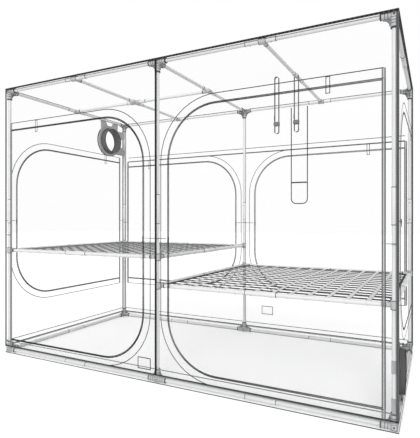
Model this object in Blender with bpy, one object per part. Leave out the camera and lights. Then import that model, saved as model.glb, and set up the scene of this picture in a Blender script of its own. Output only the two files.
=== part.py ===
"""Indoor grow tent with two bays: a tube frame in a sewn cover, with net shelves, duct brackets and straps.

Metres, +Z up. The origin is in the middle of the floor, under the cover. The doors face -Y, and the
cover's length runs along X. Every height named _Z is above the floor.
"""

import math
from collections import namedtuple

import bmesh
import bpy
from mathutils import Matrix, Vector

# The cover, outside to outside: two bays side by side
BAY_WIDTH = 1.5
DEPTH = 1.5
HEIGHT = 2.169
CLOTH = 0.0016

# Clearance between pieces that touch, and how far a cutter runs past what it cuts
FIT = 0.0003
OVERRUN = 0.01

# Tubes: every one is two lengths joined by an outside sleeve
TUBE_R = 0.0125
TUBE_WALL = 0.0012
TUBE_SIDES = 8
SLEEVE_R = 0.0145
SLEEVE_LENGTH = 0.195
POST_SLEEVE_Z = 1.1615

# Moulded connectors
SOCKET_R = 0.0195
SOCKET_REACH = 0.07
SOCKET_STOP = 0.022
BLOCK_HALF = 0.0172
WEB_REACH = 0.056
WEB_THICKNESS = 0.005

# Clamps that carry a bar at right angles to a tube
CLAMP_LENGTH = 0.05
CLAMP_STUB = 0.06
CLAMP_SIDES = 12
CROSS_BAR_OFFSET = 0.0137
CROSS_JOINT_REACH = 0.05

# Shelves
SHELF_LEFT_Z = 0.84
SHELF_RIGHT_Z = 0.65
NET_THICKNESS = 0.003
NET_HEM = 0.022
NET_CORD = 0.005
NET_GAPS = 9

# Floor cloths
SHOE_LIP = 0.055
TRAY_LIP = 0.099

# Doors and windows: D-shaped, sewn along the straight side, zipped round the rest
CORNER_R = 0.35
ARC_STEPS = 8
LEAF_GAP = 0.0004
RIM_EDGE = 0.0005
RIM_WIDTH = 0.008
RIM_PROUD = 0.0015
FLAP_WIDTH = 0.055
FLAP_PROUD = 0.0012
FRONT_HINGE_INSET = 0.072
FRONT_ZIP_HALF = 0.0975
FRONT_FLAP_SEAM = 0.0017
FRONT_HEAD_DROP = 0.348
REAR_HINGE_INSET = 0.055
REAR_ZIP_HALF = 0.0985
REAR_SILL_Z = 0.433
REAR_HEAD_DROP = 0.481
SIDE_HINGE_INSET = 0.075
SIDE_ZIP_INSET = 0.105
SIDE_SILL_Z = 0.436
SIDE_HEAD_DROP = 0.439

# Tie tabs hang inside the wall from the flap's top line, and are as long as TAB_LENGTH
TAB_WIDTH = 0.026
TAB_LENGTH = 0.095
TAB_THICKNESS = 0.0012
FRONT_TAB_INSET = 0.36
REAR_TAB_INSET = 0.35
SIDE_TAB_INSET = 0.307

# Bare sewn patches
PATCH_PROUD = 0.0009
FRONT_PATCH_LENGTH = 0.102
FRONT_PATCH_HEIGHT = 0.074
FRONT_PATCH_X = -0.093
FRONT_PATCH_Z = 0.121
REAR_PATCH_LENGTH = 0.108
REAR_PATCH_HEIGHT = 0.073
REAR_PATCH_X = 0.229
REAR_PATCH_Z = 0.2245

# Ducting
DUCT_R = 0.125
DUCT_WALL = 0.003
DUCT_SIDES = 24
DUCT_OUTSIDE = 0.0145
DUCT_INSIDE_UPPER = 0.08
DUCT_INSIDE_LOWER = 0.033
DUCT_FLANGE_WIDTH = 0.01
DUCT_FLANGE_THICKNESS = 0.003
PORT_CLEARANCE = 0.02
BRACKET_STEPS = 4
BRACKET_RING_WIDTH = 0.0372
BRACKET_THICKNESS = 0.008
LEG_WIDTH = 0.065
LEG_FLARE = 0.035
LEG_SETBACK = 0.0325
LEG_FROM_RAIL_SOCKET = 0.0115
LEG_FROM_POST_SOCKET = 0.0467
CLIP_WALL = 0.004
CLIP_LIP = 0.0015
CLIP_MOUTH = 0.016

# Hanging straps
WEBBING = 0.002
WEBBING_WIDTH = 0.025
STRAP_LENGTH = 0.43
STRAP_SPACING = 0.155
STRAP_ROOF_Y = -0.03
STRAP_BAR_Y = -0.04
STITCH_FROM_FOOT = 0.1
STITCH_LENGTH = 0.035
BUCKLE_FROM_FOOT = 0.074
BUCKLE_EDGE = 0.0015
BUCKLE_HEIGHT = 0.028
BUCKLE_LEVER = 0.006

# Hanging pocket strip
POCKET_X = 0.5435
POCKET_STRIP_WIDTH = 0.161
POCKET_STRIP_LENGTH = 0.895
POCKET_HEIGHT = 0.203
POCKET_DEPTH = 0.016
POCKET_CORNER_R = 0.05
POCKET_FROM_RAIL = 0.005

# Zip sliders
SLIDER_LENGTH = 0.024
SLIDER_WIDTH = 0.007
SLIDER_HEIGHT = 0.004
PULL_LENGTH = 0.03
PULL_THICKNESS = 0.0015

WIDTH = 2 * BAY_WIDTH

# Axes of the outer posts and of the base and top rails
POST_INSET = 2 * CLOTH + 2 * FIT + SOCKET_R
POST_X = WIDTH / 2 - POST_INSET
POST_Y = DEPTH / 2 - POST_INSET
BASE_Z = 2 * CLOTH + 2 * FIT + SOCKET_R
TOP_Z = HEIGHT - CLOTH - FIT - SOCKET_R
BAY_MIDDLE = POST_X / 2
CROSS_BAR_X = BAY_MIDDLE + CROSS_BAR_OFFSET

# The walls stand on the shoe's lip and carry the roof
WALL_FOOT_Z = SHOE_LIP + FIT
WALL_TOP_Z = HEIGHT - CLOTH - FIT
SIDE_WALL_HALF = DEPTH / 2 - CLOTH - FIT
FRONT_SILL_Z = WALL_FOOT_Z + FRONT_FLAP_SEAM + FLAP_WIDTH

# The duct bracket's legs clear the corner connector's sockets
BRACKET_RING_R = DUCT_R + FIT + BRACKET_RING_WIDTH
LEG_OUTER = BRACKET_RING_R - LEG_SETBACK
BRACKET_FROM_RAIL = SOCKET_REACH + LEG_FROM_RAIL_SOCKET + LEG_OUTER
BRACKET_FROM_POST = SOCKET_REACH + LEG_FROM_POST_SOCKET + LEG_OUTER

QUARTER = math.pi / 2
SMOOTH_ANGLE = math.radians(50)
FLAT_SHARE = math.cos(math.pi / TUBE_SIDES)
TUBE_TURN = {"X": (0, QUARTER, 0), "Y": (-QUARTER, 0, 0), "Z": (0, 0, 0)}

Opening = namedtuple("Opening", "hinge free sill head")


def finish(name, colour, roughness, metallic=0.0, alpha=1.0):
    """A material with one plain surface."""
    material = bpy.data.materials.new(name)
    material.use_nodes = True
    surface = material.node_tree.nodes["Principled BSDF"]
    surface.inputs["Base Color"].default_value = (*colour, 1.0)
    surface.inputs["Roughness"].default_value = roughness
    surface.inputs["Metallic"].default_value = metallic
    surface.inputs["Alpha"].default_value = alpha
    material.diffuse_color = (*colour, alpha)
    return material


def at(axis, u, v, along):
    """A point from two places square to the axis and one along it."""
    if axis == "X":
        return (along, u, v)
    if axis == "Y":
        return (u, along, v)
    return (u, v, along)


def link(name, mesh):
    """A new object that shows the mesh."""
    piece = bpy.data.objects.new(name, mesh)
    bpy.context.scene.collection.objects.link(piece)
    return piece


def ring_solid(name, rings, material=None, capped=True):
    """A closed solid over equal rings of points, with its ends capped or else joined together."""
    form = bmesh.new()
    loops = []
    for ring in rings:
        loops.append([form.verts.new(point) for point in ring])
    steps = list(zip(loops, loops[1:]))
    if capped:
        form.faces.new(loops[0])
        form.faces.new(loops[-1])
    else:
        steps.append((loops[-1], loops[0]))
    for first, second in steps:
        for index, corner in enumerate(first):
            following = (index + 1) % len(first)
            form.faces.new((corner, first[following], second[following], second[index]))
    bmesh.ops.recalc_face_normals(form, faces=form.faces)
    mesh = bpy.data.meshes.new(name)
    form.to_mesh(mesh)
    form.free()
    if material:
        mesh.materials.append(material)
    return link(name, mesh)


def rectangle(low_u, high_u, low_v, high_v):
    """The four corners of a rectangle."""
    return [(low_u, low_v), (high_u, low_v), (high_u, high_v), (low_u, high_v)]


def arc(centre_u, centre_v, radius, start, end, steps):
    """Points along an arc, both ends included."""
    points = []
    for step in range(steps + 1):
        angle = start + (end - start) * step / steps
        points.append((centre_u + radius * math.cos(angle), centre_v + radius * math.sin(angle)))
    return points


def slab(name, axis, outline, start, end, material=None):
    """An outline drawn square to the axis, made solid from start to end along it."""
    rings = []
    for along in (start, end):
        rings.append([at(axis, u, v, along) for u, v in outline])
    return ring_solid(name, rings, material)


def block(name, x_range, y_range, z_range, material=None):
    """A box between three pairs of places."""
    return slab(name, "Z", rectangle(*x_range, *y_range), *z_range, material)


def turned(name, axis, centre, profile, sides, material=None, capped=False):
    """A profile of (radius, along) points turned about a line through the centre, along the axis."""
    rings = []
    for radius, along in profile:
        circle = arc(*centre, radius, 0, 2 * math.pi, sides)[:-1]
        rings.append([at(axis, u, v, along) for u, v in circle])
    return ring_solid(name, rings, material, capped)


def rod(axis, centre, radius, start, end, sides=TUBE_SIDES):
    """A plain round bar, to join to a piece or to cut from it."""
    return turned("rod", axis, centre, [(radius, start), (radius, end)], sides, capped=True)


def combine(piece, additions=(), cuts=()):
    """Join the additions to the piece, take the cuts from it, and keep only the result."""
    steps = [(addition, "UNION") for addition in additions]
    steps += [(cut, "DIFFERENCE") for cut in cuts]
    for operand, operation in steps:
        modifier = piece.modifiers.new(operation, "BOOLEAN")
        modifier.operation = operation
        modifier.object = operand
    bpy.context.view_layer.update()
    shape = piece.evaluated_get(bpy.context.evaluated_depsgraph_get())
    mesh = bpy.data.meshes.new_from_object(shape)
    mesh.name = piece.name
    piece.modifiers.clear()
    piece.data = mesh
    for operand, operation in steps:
        bpy.data.objects.remove(operand)
    return piece


def set_origin(piece, point):
    """Move the piece's origin to the point and leave its shape where it is."""
    piece.data.transform(Matrix.Translation(-Vector(point)))
    piece.location = point


def ride(piece, carrier):
    """Parent the piece to its carrier without moving it."""
    bpy.context.view_layer.update()
    piece.parent = carrier
    piece.matrix_parent_inverse = carrier.matrix_world.inverted()


def side_name(sign, negative, positive):
    """The word for a place on one side of the middle."""
    return negative if sign < 0 else positive


def tube_mesh(name, length, sleeve_middle, material):
    """The mesh of a hollow tube along Z from zero, with its joint sleeve at the given height."""
    low = sleeve_middle - SLEEVE_LENGTH / 2
    high = sleeve_middle + SLEEVE_LENGTH / 2
    bore = TUBE_R - TUBE_WALL
    profile = [(TUBE_R, 0), (TUBE_R, low), (SLEEVE_R, low), (SLEEVE_R, high), (TUBE_R, high),
               (TUBE_R, length), (bore, length), (bore, 0)]
    guide = turned(name, "Z", (0, 0), profile, TUBE_SIDES, material)
    mesh = guide.data
    bpy.data.objects.remove(guide)
    return mesh


def lay_tube(name, mesh, axis, start):
    """A tube that begins at the start and runs along the axis."""
    tube = link(name, mesh)
    tube.rotation_euler = TUBE_TURN[axis]
    tube.location = start
    return tube


def make_tubes(material):
    """Six posts, twelve rails and the centre top rail, each seated in the connectors' sockets."""
    seat = SOCKET_STOP + FIT
    post_foot = BASE_Z + seat
    post_length = TOP_Z - BASE_Z - 2 * seat
    bay_length = POST_X - 2 * seat
    side_length = 2 * (POST_Y - seat)
    post = tube_mesh("post", post_length, POST_SLEEVE_Z - post_foot, material)
    long_rail = tube_mesh("long_rail", bay_length, bay_length / 2, material)
    side_rail = tube_mesh("side_rail", side_length, side_length / 2, material)
    for y_sign in (-1, 1):
        row = side_name(y_sign, "front", "rear")
        for column, x in (("left", -POST_X), ("middle", 0), ("right", POST_X)):
            lay_tube(f"post_{row}_{column}", post, "Z", (x, y_sign * POST_Y, post_foot))
    for level, z in (("base", BASE_Z), ("top", TOP_Z)):
        for y_sign in (-1, 1):
            row = side_name(y_sign, "front", "rear")
            for column, x in (("left", seat - POST_X), ("right", seat)):
                lay_tube(f"{level}_rail_{row}_{column}", long_rail, "X", (x, y_sign * POST_Y, z))
        for x_sign in (-1, 1):
            column = side_name(x_sign, "left", "right")
            lay_tube(f"{level}_rail_side_{column}", side_rail, "Y", (x_sign * POST_X, seat - POST_Y, z))
    lay_tube("top_rail_centre", side_rail, "Y", (0, seat - POST_Y, TOP_Z))


def arm(direction, radius, start, end):
    """A round bar that runs out from a connector's centre in one of six directions."""
    axis, sign = direction
    return rod(axis, (0, 0), radius, sign * start, sign * end)


def web(first, second):
    """The flat gusset between two arms at right angles."""
    axis = ({"X", "Y", "Z"} - {first[0], second[0]}).pop()
    reach = {first[0]: first[1] * WEB_REACH, second[0]: second[1] * WEB_REACH}
    u_axis, v_axis = [letter for letter in "XYZ" if letter != axis]
    outline = [(0, 0), (reach[u_axis], 0), (0, reach[v_axis])]
    return slab("web", axis, outline, -WEB_THICKNESS / 2, WEB_THICKNESS / 2)


def connector_mesh(name, directions, material):
    """The mesh of a moulded connector with a blind socket in each direction and webs between them."""
    half = (-BLOCK_HALF, BLOCK_HALF)
    body = block(name, half, half, half, material)
    additions = [arm(direction, SOCKET_R, BLOCK_HALF / 2, SOCKET_REACH) for direction in directions]
    for index, first in enumerate(directions):
        for second in directions[index + 1:]:
            if first[0] != second[0]:
                additions.append(web(first, second))
    bores = [arm(direction, TUBE_R + FIT, SOCKET_STOP, SOCKET_REACH + OVERRUN) for direction in directions]
    combine(body, additions, bores)
    mesh = body.data
    bpy.data.objects.remove(body)
    return mesh


def make_connectors(material):
    """Eight three-socket corners, and the joints at the middle posts' feet and heads."""
    corner = connector_mesh("corner", [("X", 1), ("Y", 1), ("Z", 1)], material)
    foot = connector_mesh("foot_joint", [("X", 1), ("X", -1), ("Z", 1)], material)
    head = connector_mesh("head_joint", [("X", 1), ("X", -1), ("Y", 1), ("Z", -1)], material)
    # Quarter turns that point a corner's sockets at the tent's inside, upright and then upside down
    base_turns = {(-1, -1): 0, (1, -1): 1, (1, 1): 2, (-1, 1): 3}
    for (x_sign, y_sign), turns in base_turns.items():
        row = side_name(y_sign, "front", "rear")
        column = side_name(x_sign, "left", "right")
        base = link(f"corner_base_{row}_{column}", corner)
        base.rotation_euler = (0, 0, turns * QUARTER)
        base.location = (x_sign * POST_X, y_sign * POST_Y, BASE_Z)
        top = link(f"corner_top_{row}_{column}", corner)
        top.rotation_euler = (2 * QUARTER, 0, (turns + 1) * QUARTER)
        top.location = (x_sign * POST_X, y_sign * POST_Y, TOP_Z)
    for y_sign in (-1, 1):
        row = side_name(y_sign, "front", "rear")
        base = link(f"joint_base_{row}", foot)
        base.location = (0, y_sign * POST_Y, BASE_Z)
        top = link(f"joint_top_{row}", head)
        top.rotation_euler = (0, 0, (1 + y_sign) * QUARTER)
        top.location = (0, y_sign * POST_Y, TOP_Z)


def bar_solid(name, axis, centre, start, end, sleeve_middle, material=None):
    """A bar between two clamps: a stub at each end, and a joint sleeve on the way."""
    low = sleeve_middle - SLEEVE_LENGTH / 2
    high = sleeve_middle + SLEEVE_LENGTH / 2
    profile = [(SLEEVE_R, start), (SLEEVE_R, start + CLAMP_STUB), (TUBE_R, start + CLAMP_STUB),
               (TUBE_R, low), (SLEEVE_R, low), (SLEEVE_R, high), (TUBE_R, high),
               (TUBE_R, end - CLAMP_STUB), (SLEEVE_R, end - CLAMP_STUB), (SLEEVE_R, end)]
    return turned(name, axis, centre, profile, TUBE_SIDES, material, capped=True)


def bar_bore(axis, centre, start, end):
    """The hollow of a bar, which opens into the holes of its clamps."""
    return rod(axis, centre, TUBE_R - TUBE_WALL, start, end)


def collar(axis, centre, middle, radius, length, sides=TUBE_SIDES):
    """A length of round bar about a middle: a clamp's ring, or the hole through one."""
    return rod(axis, centre, radius, middle - length / 2, middle + length / 2, sides)


def make_cross_bars(material):
    """One bar across each bay under the roof, clamped on the sleeves of the long top rails."""
    for x_sign in (-1, 1):
        x = x_sign * CROSS_BAR_X
        bar = bar_solid(f"cross_bar_{side_name(x_sign, 'left', 'right')}", "Y", (x, TOP_Z),
                        -POST_Y, POST_Y, 0, material)
        rings = []
        holes = [bar_bore("Y", (x, TOP_Z), -POST_Y, POST_Y)]
        for y in (-POST_Y, POST_Y):
            rings.append(collar("X", (y, TOP_Z), x, SOCKET_R, CLAMP_LENGTH))
            holes.append(collar("X", (y, TOP_Z), x, SLEEVE_R + FIT, CLAMP_LENGTH + OVERRUN))
        combine(bar, rings, holes)


def make_hanging_bar(material):
    """The lengthwise bar of the left bay, from the side rail to the centre rail, with a crossing joint."""
    bar = bar_solid("hanging_bar_left", "X", (0, TOP_Z), -POST_X, 0, -BAY_MIDDLE, material)
    rings = [collar("X", (0, TOP_Z), -CROSS_BAR_X, SOCKET_R, 2 * CROSS_JOINT_REACH),
             collar("Y", (-CROSS_BAR_X, TOP_Z), 0, SOCKET_R, 2 * CROSS_JOINT_REACH)]
    holes = [bar_bore("X", (0, TOP_Z), -POST_X, 0),
             collar("Y", (-CROSS_BAR_X, TOP_Z), 0, SLEEVE_R + FIT, 2 * CROSS_JOINT_REACH + OVERRUN)]
    for x in (-POST_X, 0):
        rings.append(collar("Y", (x, TOP_Z), 0, SOCKET_R, CLAMP_LENGTH))
        holes.append(collar("Y", (x, TOP_Z), 0, SLEEVE_R + FIT, CLAMP_LENGTH + OVERRUN))
    combine(bar, rings, holes)


def interval_edges(low, high):
    """Places of the edges across a net: hem, gap, cord, gap and so on to the other hem."""
    gap = (high - low - 2 * NET_HEM - (NET_GAPS - 1) * NET_CORD) / NET_GAPS
    edges = [low, low + NET_HEM]
    for index in range(NET_GAPS):
        edges.append(edges[-1] + gap)
        edges.append(edges[-1] + NET_CORD)
    edges[-1] = high
    return edges


def make_net(name, x_range, y_range, z, material):
    """A flat net with a hem: a plate with a square gap wherever two gap intervals cross."""
    across = interval_edges(*x_range)
    deep = interval_edges(*y_range)
    levels = (z - NET_THICKNESS / 2, z + NET_THICKNESS / 2)
    columns = len(across) - 1
    rows = len(deep) - 1
    form = bmesh.new()
    corners = {}

    def corner(i, j, level):
        key = (i, j, level)
        if key not in corners:
            corners[key] = form.verts.new((across[i], deep[j], levels[level]))
        return corners[key]

    def is_solid(i, j):
        inside = 0 <= i < columns and 0 <= j < rows
        return inside and not (i % 2 and j % 2)

    for i in range(columns):
        for j in range(rows):
            if not is_solid(i, j):
                continue
            square = [(i, j), (i + 1, j), (i + 1, j + 1), (i, j + 1)]
            neighbours = [(i, j - 1), (i + 1, j), (i, j + 1), (i - 1, j)]
            form.faces.new([corner(*place, 1) for place in square])
            form.faces.new([corner(*place, 0) for place in reversed(square)])
            for side, neighbour in enumerate(neighbours):
                if is_solid(*neighbour):
                    continue
                first = square[side]
                second = square[(side + 1) % 4]
                form.faces.new([corner(*first, 0), corner(*second, 0), corner(*second, 1), corner(*first, 1)])
    mesh = bpy.data.meshes.new(name)
    form.to_mesh(mesh)
    form.free()
    mesh.materials.append(material)
    return link(name, mesh)


def loop_solid(name, x_range, half_y, z, sections, corner_r, material=None):
    """A round bar bent round a rectangle of centre lines, with (place, radius) sections along each side."""
    corners = [Vector((x, y, z)) for x, y in rectangle(*x_range, -half_y, half_y)]
    rings = []
    for index, start in enumerate(corners):
        along = (corners[(index + 1) % 4] - start).normalized()
        before = (start - corners[index - 1]).normalized()
        out = along.cross(Vector((0, 0, 1)))
        mitre = out + before.cross(Vector((0, 0, 1)))
        length = (corners[(index + 1) % 4] - start).length
        rings.append(bar_section(start, mitre, corner_r))
        for place, radius in sections(length):
            rings.append(bar_section(start + along * place, out, radius))
    return ring_solid(name, rings, material, capped=False)


def bar_section(centre, out, radius):
    """Points round a level bar, with flat faces at its top, its bottom and its two sides."""
    half_side = math.pi / TUBE_SIDES
    circle = arc(0, 0, radius, half_side, half_side + 2 * math.pi, TUBE_SIDES)[:-1]
    return [centre + out * u + Vector((0, 0, v)) for u, v in circle]


def shelf_sections(length):
    """A shelf bar between two clamps, with a joint sleeve in the middle."""
    low = (length - SLEEVE_LENGTH) / 2
    high = (length + SLEEVE_LENGTH) / 2
    return [(low, TUBE_R), (low, SLEEVE_R), (high, SLEEVE_R), (high, TUBE_R)]


def make_shelf(side, x_range, z, tube_material, net_material):
    """Four bars between clamps on four posts, and the net inside them, which slide on the posts together."""
    frame = loop_solid(f"shelf_frame_{side}", x_range, POST_Y, z, shelf_sections, TUBE_R, tube_material)
    hollow = loop_solid("hollow", x_range, POST_Y, z, lambda length: [], TUBE_R - TUBE_WALL)
    edge = SLEEVE_R * FLAT_SHARE + FIT
    low_x, high_x = x_range
    net = make_net(f"shelf_net_{side}", (low_x + edge, high_x - edge), (edge - POST_Y, POST_Y - edge),
                   z, net_material)
    # The hole's flats, not its corners, clear the post's corners
    hole_r = (TUBE_R + FIT) / math.cos(math.pi / CLAMP_SIDES)
    rings = []
    holes = [hollow]
    notches = []
    for x in x_range:
        for y in (-POST_Y, POST_Y):
            rings.append(collar("Z", (x, y), z, SOCKET_R, CLAMP_LENGTH, CLAMP_SIDES))
            holes.append(collar("Z", (x, y), z, hole_r, CLAMP_LENGTH + OVERRUN, CLAMP_SIDES))
            notches.append(collar("Z", (x, y), z, SOCKET_R + FIT, CLAMP_LENGTH, CLAMP_SIDES))
    combine(frame, rings, holes)
    combine(net, cuts=notches)
    middle = ((low_x + high_x) / 2, 0, z)
    set_origin(frame, middle)
    set_origin(net, middle)
    ride(net, frame)


def d_outline(opening, grow=0, hinge_start=0):
    """A D: straight at the hinge, round at the two far corners, grown past the zip line on three sides."""
    sign = 1 if opening.free > opening.hinge else -1
    radius = CORNER_R + grow
    middle_u = opening.free - sign * CORNER_R
    hinge = opening.hinge + sign * hinge_start
    points = [(hinge, opening.sill - grow)]
    for u, v in arc(0, opening.sill + CORNER_R, radius, -QUARTER, 0, ARC_STEPS):
        points.append((middle_u + sign * u, v))
    for u, v in arc(0, opening.head - CORNER_R, radius, 0, QUARTER, ARC_STEPS):
        points.append((middle_u + sign * u, v))
    points.append((hinge, opening.head + grow))
    return points


def tab_solid(axis, outward, inner, middle, opening, along):
    """A tie tab: sewn to the wall above the opening, it hangs clear behind the leaf."""
    top = opening.head + FLAP_WIDTH
    step = inner - outward * FIT
    back = step - outward * TAB_THICKNESS
    seam = opening.head + RIM_WIDTH
    low = along - TAB_WIDTH / 2
    high = along + TAB_WIDTH / 2
    outline = [(middle, top), (back, top), (back, top - TAB_LENGTH), (step, top - TAB_LENGTH),
               (step, seam), (middle, seam)]
    if axis == "Y":
        return slab("tab", "X", outline, low, high)
    return slab("tab", "Y", outline, low, high)


def make_wall(name, axis, outward, half_out, half_along, openings, tabs, material, patch=None, port=None):
    """A cover wall with its openings, the raised flaps round them, its tie tabs, patch and duct port."""
    outer = outward * half_out
    inner = outer - outward * CLOTH
    middle = (outer + inner) / 2
    past_out = outer + outward * OVERRUN
    past_in = inner - outward * OVERRUN
    sheet = rectangle(-half_along, half_along, WALL_FOOT_Z, WALL_TOP_Z)
    wall = slab(name, axis, sheet, inner, outer, material)
    raised = []
    cuts = []
    tie_tabs = []
    for opening, tab in zip(openings, tabs):
        flap = d_outline(opening, FLAP_WIDTH, RIM_WIDTH)
        raised.append(slab("flap", axis, flap, middle, outer + outward * FLAP_PROUD))
        cuts.append(slab("opening", axis, d_outline(opening), past_in, past_out))
        tie_tabs.append(tab_solid(axis, outward, inner, middle, opening, tab))
    if patch:
        raised.append(slab("patch", axis, patch, middle, outer + outward * PATCH_PROUD))
    if port:
        cuts.append(rod(axis, port, DUCT_R + PORT_CLEARANCE, past_in, past_out, DUCT_SIDES))
    combine(wall, raised, cuts)
    # The tabs are joined after the openings are cut, so that they stay whole behind the leaves
    combine(wall, tie_tabs)


def make_leaf(name, axis, outward, half_out, opening, material, with_slider=False):
    """A door or window: a flat leaf with its zip tape raised round three sides, hinged at the sewn side."""
    outer = outward * half_out
    inner = outer - outward * CLOTH
    middle = (outer + inner) / 2
    proud = outer + outward * RIM_PROUD
    leaf = slab(name, axis, d_outline(opening, -LEAF_GAP, LEAF_GAP), inner, outer, material)
    edge = LEAF_GAP + RIM_EDGE
    rim = slab("rim", axis, d_outline(opening, -edge, RIM_WIDTH), middle, proud)
    inside = d_outline(opening, -edge - RIM_WIDTH, -OVERRUN)
    combine(rim, cuts=[slab("inside", axis, inside, middle - outward * OVERRUN, proud + outward * OVERRUN)])
    combine(leaf, [rim])
    if with_slider:
        combine(leaf, [slider_solid("slider", axis, outward, half_out, opening, RIM_PROUD / 2)])
    set_origin(leaf, at(axis, opening.hinge, (opening.sill + opening.head) / 2, outer))
    return leaf


def slider_solid(name, axis, outward, half_out, opening, seat_height, material=None):
    """A zip slider with its pull, on the zip tape at half the height of the opening's free side."""
    sign = 1 if opening.free > opening.hinge else -1
    z = (opening.sill + opening.head) / 2
    edge = opening.free - sign * (LEAF_GAP + RIM_EDGE)
    low, high = sorted((edge, edge - sign * SLIDER_WIDTH))
    face_height = RIM_PROUD + FIT + SLIDER_HEIGHT
    seat = outward * (half_out + seat_height)
    face = outward * (half_out + face_height)
    slider = slab(name, axis, rectangle(low, high, z - SLIDER_LENGTH / 2, z + SLIDER_LENGTH / 2), seat, face,
                  material)
    taper = SLIDER_WIDTH / 4
    pull = slab("pull", axis, rectangle(low + taper, high - taper, z - PULL_LENGTH, z),
                outward * (half_out + face_height - PULL_THICKNESS),
                outward * (half_out + face_height + PULL_THICKNESS))
    return combine(slider, [pull])


def make_slider(name, outward, half_out, opening, door, material):
    """A door's zip slider, which rests on the zip tape and runs along it."""
    seat_height = RIM_PROUD + FIT
    slider = slider_solid(name, "Y", outward, half_out, opening, seat_height, material)
    set_origin(slider, (opening.free, outward * (half_out + seat_height), (opening.sill + opening.head) / 2))
    ride(slider, door)


def make_cover(film, edging, zip_metal):
    """Floor cloths, walls and roof, with the doors, windows and zip sliders in them."""
    make_pan("floor_shoe", 0, SHOE_LIP, edging)
    make_pan("floor_tray", CLOTH + FIT, TRAY_LIP, film)
    block("roof", (-WIDTH / 2, WIDTH / 2), (-DEPTH / 2, DEPTH / 2), (HEIGHT - CLOTH, HEIGHT), film)

    front = []
    rear = []
    for x_sign in (-1, 1):
        side = side_name(x_sign, "left", "right")
        door = Opening(x_sign * (WIDTH / 2 - FRONT_HINGE_INSET), x_sign * FRONT_ZIP_HALF,
                       FRONT_SILL_Z, HEIGHT - FRONT_HEAD_DROP)
        window = Opening(x_sign * (WIDTH / 2 - REAR_HINGE_INSET), x_sign * REAR_ZIP_HALF,
                         REAR_SILL_Z, HEIGHT - REAR_HEAD_DROP)
        side_window = Opening(DEPTH / 2 - SIDE_HINGE_INSET, SIDE_ZIP_INSET - DEPTH / 2,
                              SIDE_SILL_Z, HEIGHT - SIDE_HEAD_DROP)
        front.append(door)
        rear.append(window)
        leaf = make_leaf(f"door_front_{side}", "Y", -1, DEPTH / 2, door, film)
        make_slider(f"zip_slider_{side}", -1, DEPTH / 2, door, leaf, zip_metal)
        make_leaf(f"window_rear_{side}", "Y", 1, DEPTH / 2, window, film, with_slider=True)
        make_leaf(f"window_side_{side}", "X", x_sign, WIDTH / 2, side_window, film, with_slider=True)
        make_wall(f"wall_{side}", "X", x_sign, WIDTH / 2, SIDE_WALL_HALF, [side_window],
                  [DEPTH / 2 - SIDE_TAB_INSET], film, port=duct_centre(x_sign))
    make_wall("wall_front", "Y", -1, DEPTH / 2, WIDTH / 2, front,
              [FRONT_TAB_INSET - WIDTH / 2, WIDTH / 2 - FRONT_TAB_INSET], film,
              patch=patch_outline(FRONT_PATCH_X, FRONT_PATCH_Z, FRONT_PATCH_LENGTH, FRONT_PATCH_HEIGHT))
    make_wall("wall_rear", "Y", 1, DEPTH / 2, WIDTH / 2, rear,
              [REAR_TAB_INSET - WIDTH / 2, WIDTH / 2 - REAR_TAB_INSET], film,
              patch=patch_outline(REAR_PATCH_X, REAR_PATCH_Z, REAR_PATCH_LENGTH, REAR_PATCH_HEIGHT))


def make_pan(name, inset, lip_z, material):
    """A floor cloth with an upright lip all round, as far inside the cover's outside as the inset."""
    rings = []
    for out, z in ((inset, inset), (inset, lip_z), (inset + CLOTH, lip_z), (inset + CLOTH, inset + CLOTH)):
        half_x = WIDTH / 2 - out
        half_y = DEPTH / 2 - out
        rings.append([(x, y, z) for x, y in rectangle(-half_x, half_x, -half_y, half_y)])
    ring_solid(name, rings, material)


def patch_outline(middle_x, middle_z, length, height):
    """The outline of a sewn patch about its middle."""
    left = middle_x - length / 2
    low = middle_z - height / 2
    return rectangle(left, left + length, low, low + height)


def duct_centre(x_sign):
    """Depth and height of a duct's middle: high at the rear on the left, low at the front on the right."""
    return (-x_sign * (POST_Y - BRACKET_FROM_POST), duct_rail_z(x_sign) + x_sign * BRACKET_FROM_RAIL)


def duct_rail_z(x_sign):
    """Height of the side rail that carries the bracket."""
    return side_name(x_sign, TOP_Z, BASE_Z)


def bracket_outline(to_post, to_rail):
    """A bracket's plate about the duct's middle: a disc, with two legs to the post and two to the rail.

    Each of the two distances is signed, and runs from the middle to the tube's axis.
    """
    inner = LEG_OUTER - LEG_WIDTH
    near = math.asin((inner - LEG_FLARE) / BRACKET_RING_R)
    far = math.asin(LEG_OUTER / BRACKET_RING_R)
    reach_p = abs(to_post)
    reach_q = abs(to_rail)
    points = [(reach_p, -LEG_OUTER), (reach_p, -inner)]
    points += arc(0, 0, BRACKET_RING_R, -near, near, BRACKET_STEPS)
    points += [(reach_p, inner), (reach_p, LEG_OUTER), (LEG_OUTER, LEG_OUTER)]
    points += [(LEG_OUTER, reach_q), (inner, reach_q)]
    points += arc(0, 0, BRACKET_RING_R, QUARTER - near, QUARTER + near, BRACKET_STEPS)
    points += [(-inner, reach_q), (-LEG_OUTER, reach_q)]
    points += arc(0, 0, BRACKET_RING_R, QUARTER + far, 4 * QUARTER - far, 2 * ARC_STEPS)
    return [(math.copysign(1, to_post) * p, math.copysign(1, to_rail) * q) for p, q in points]


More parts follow.
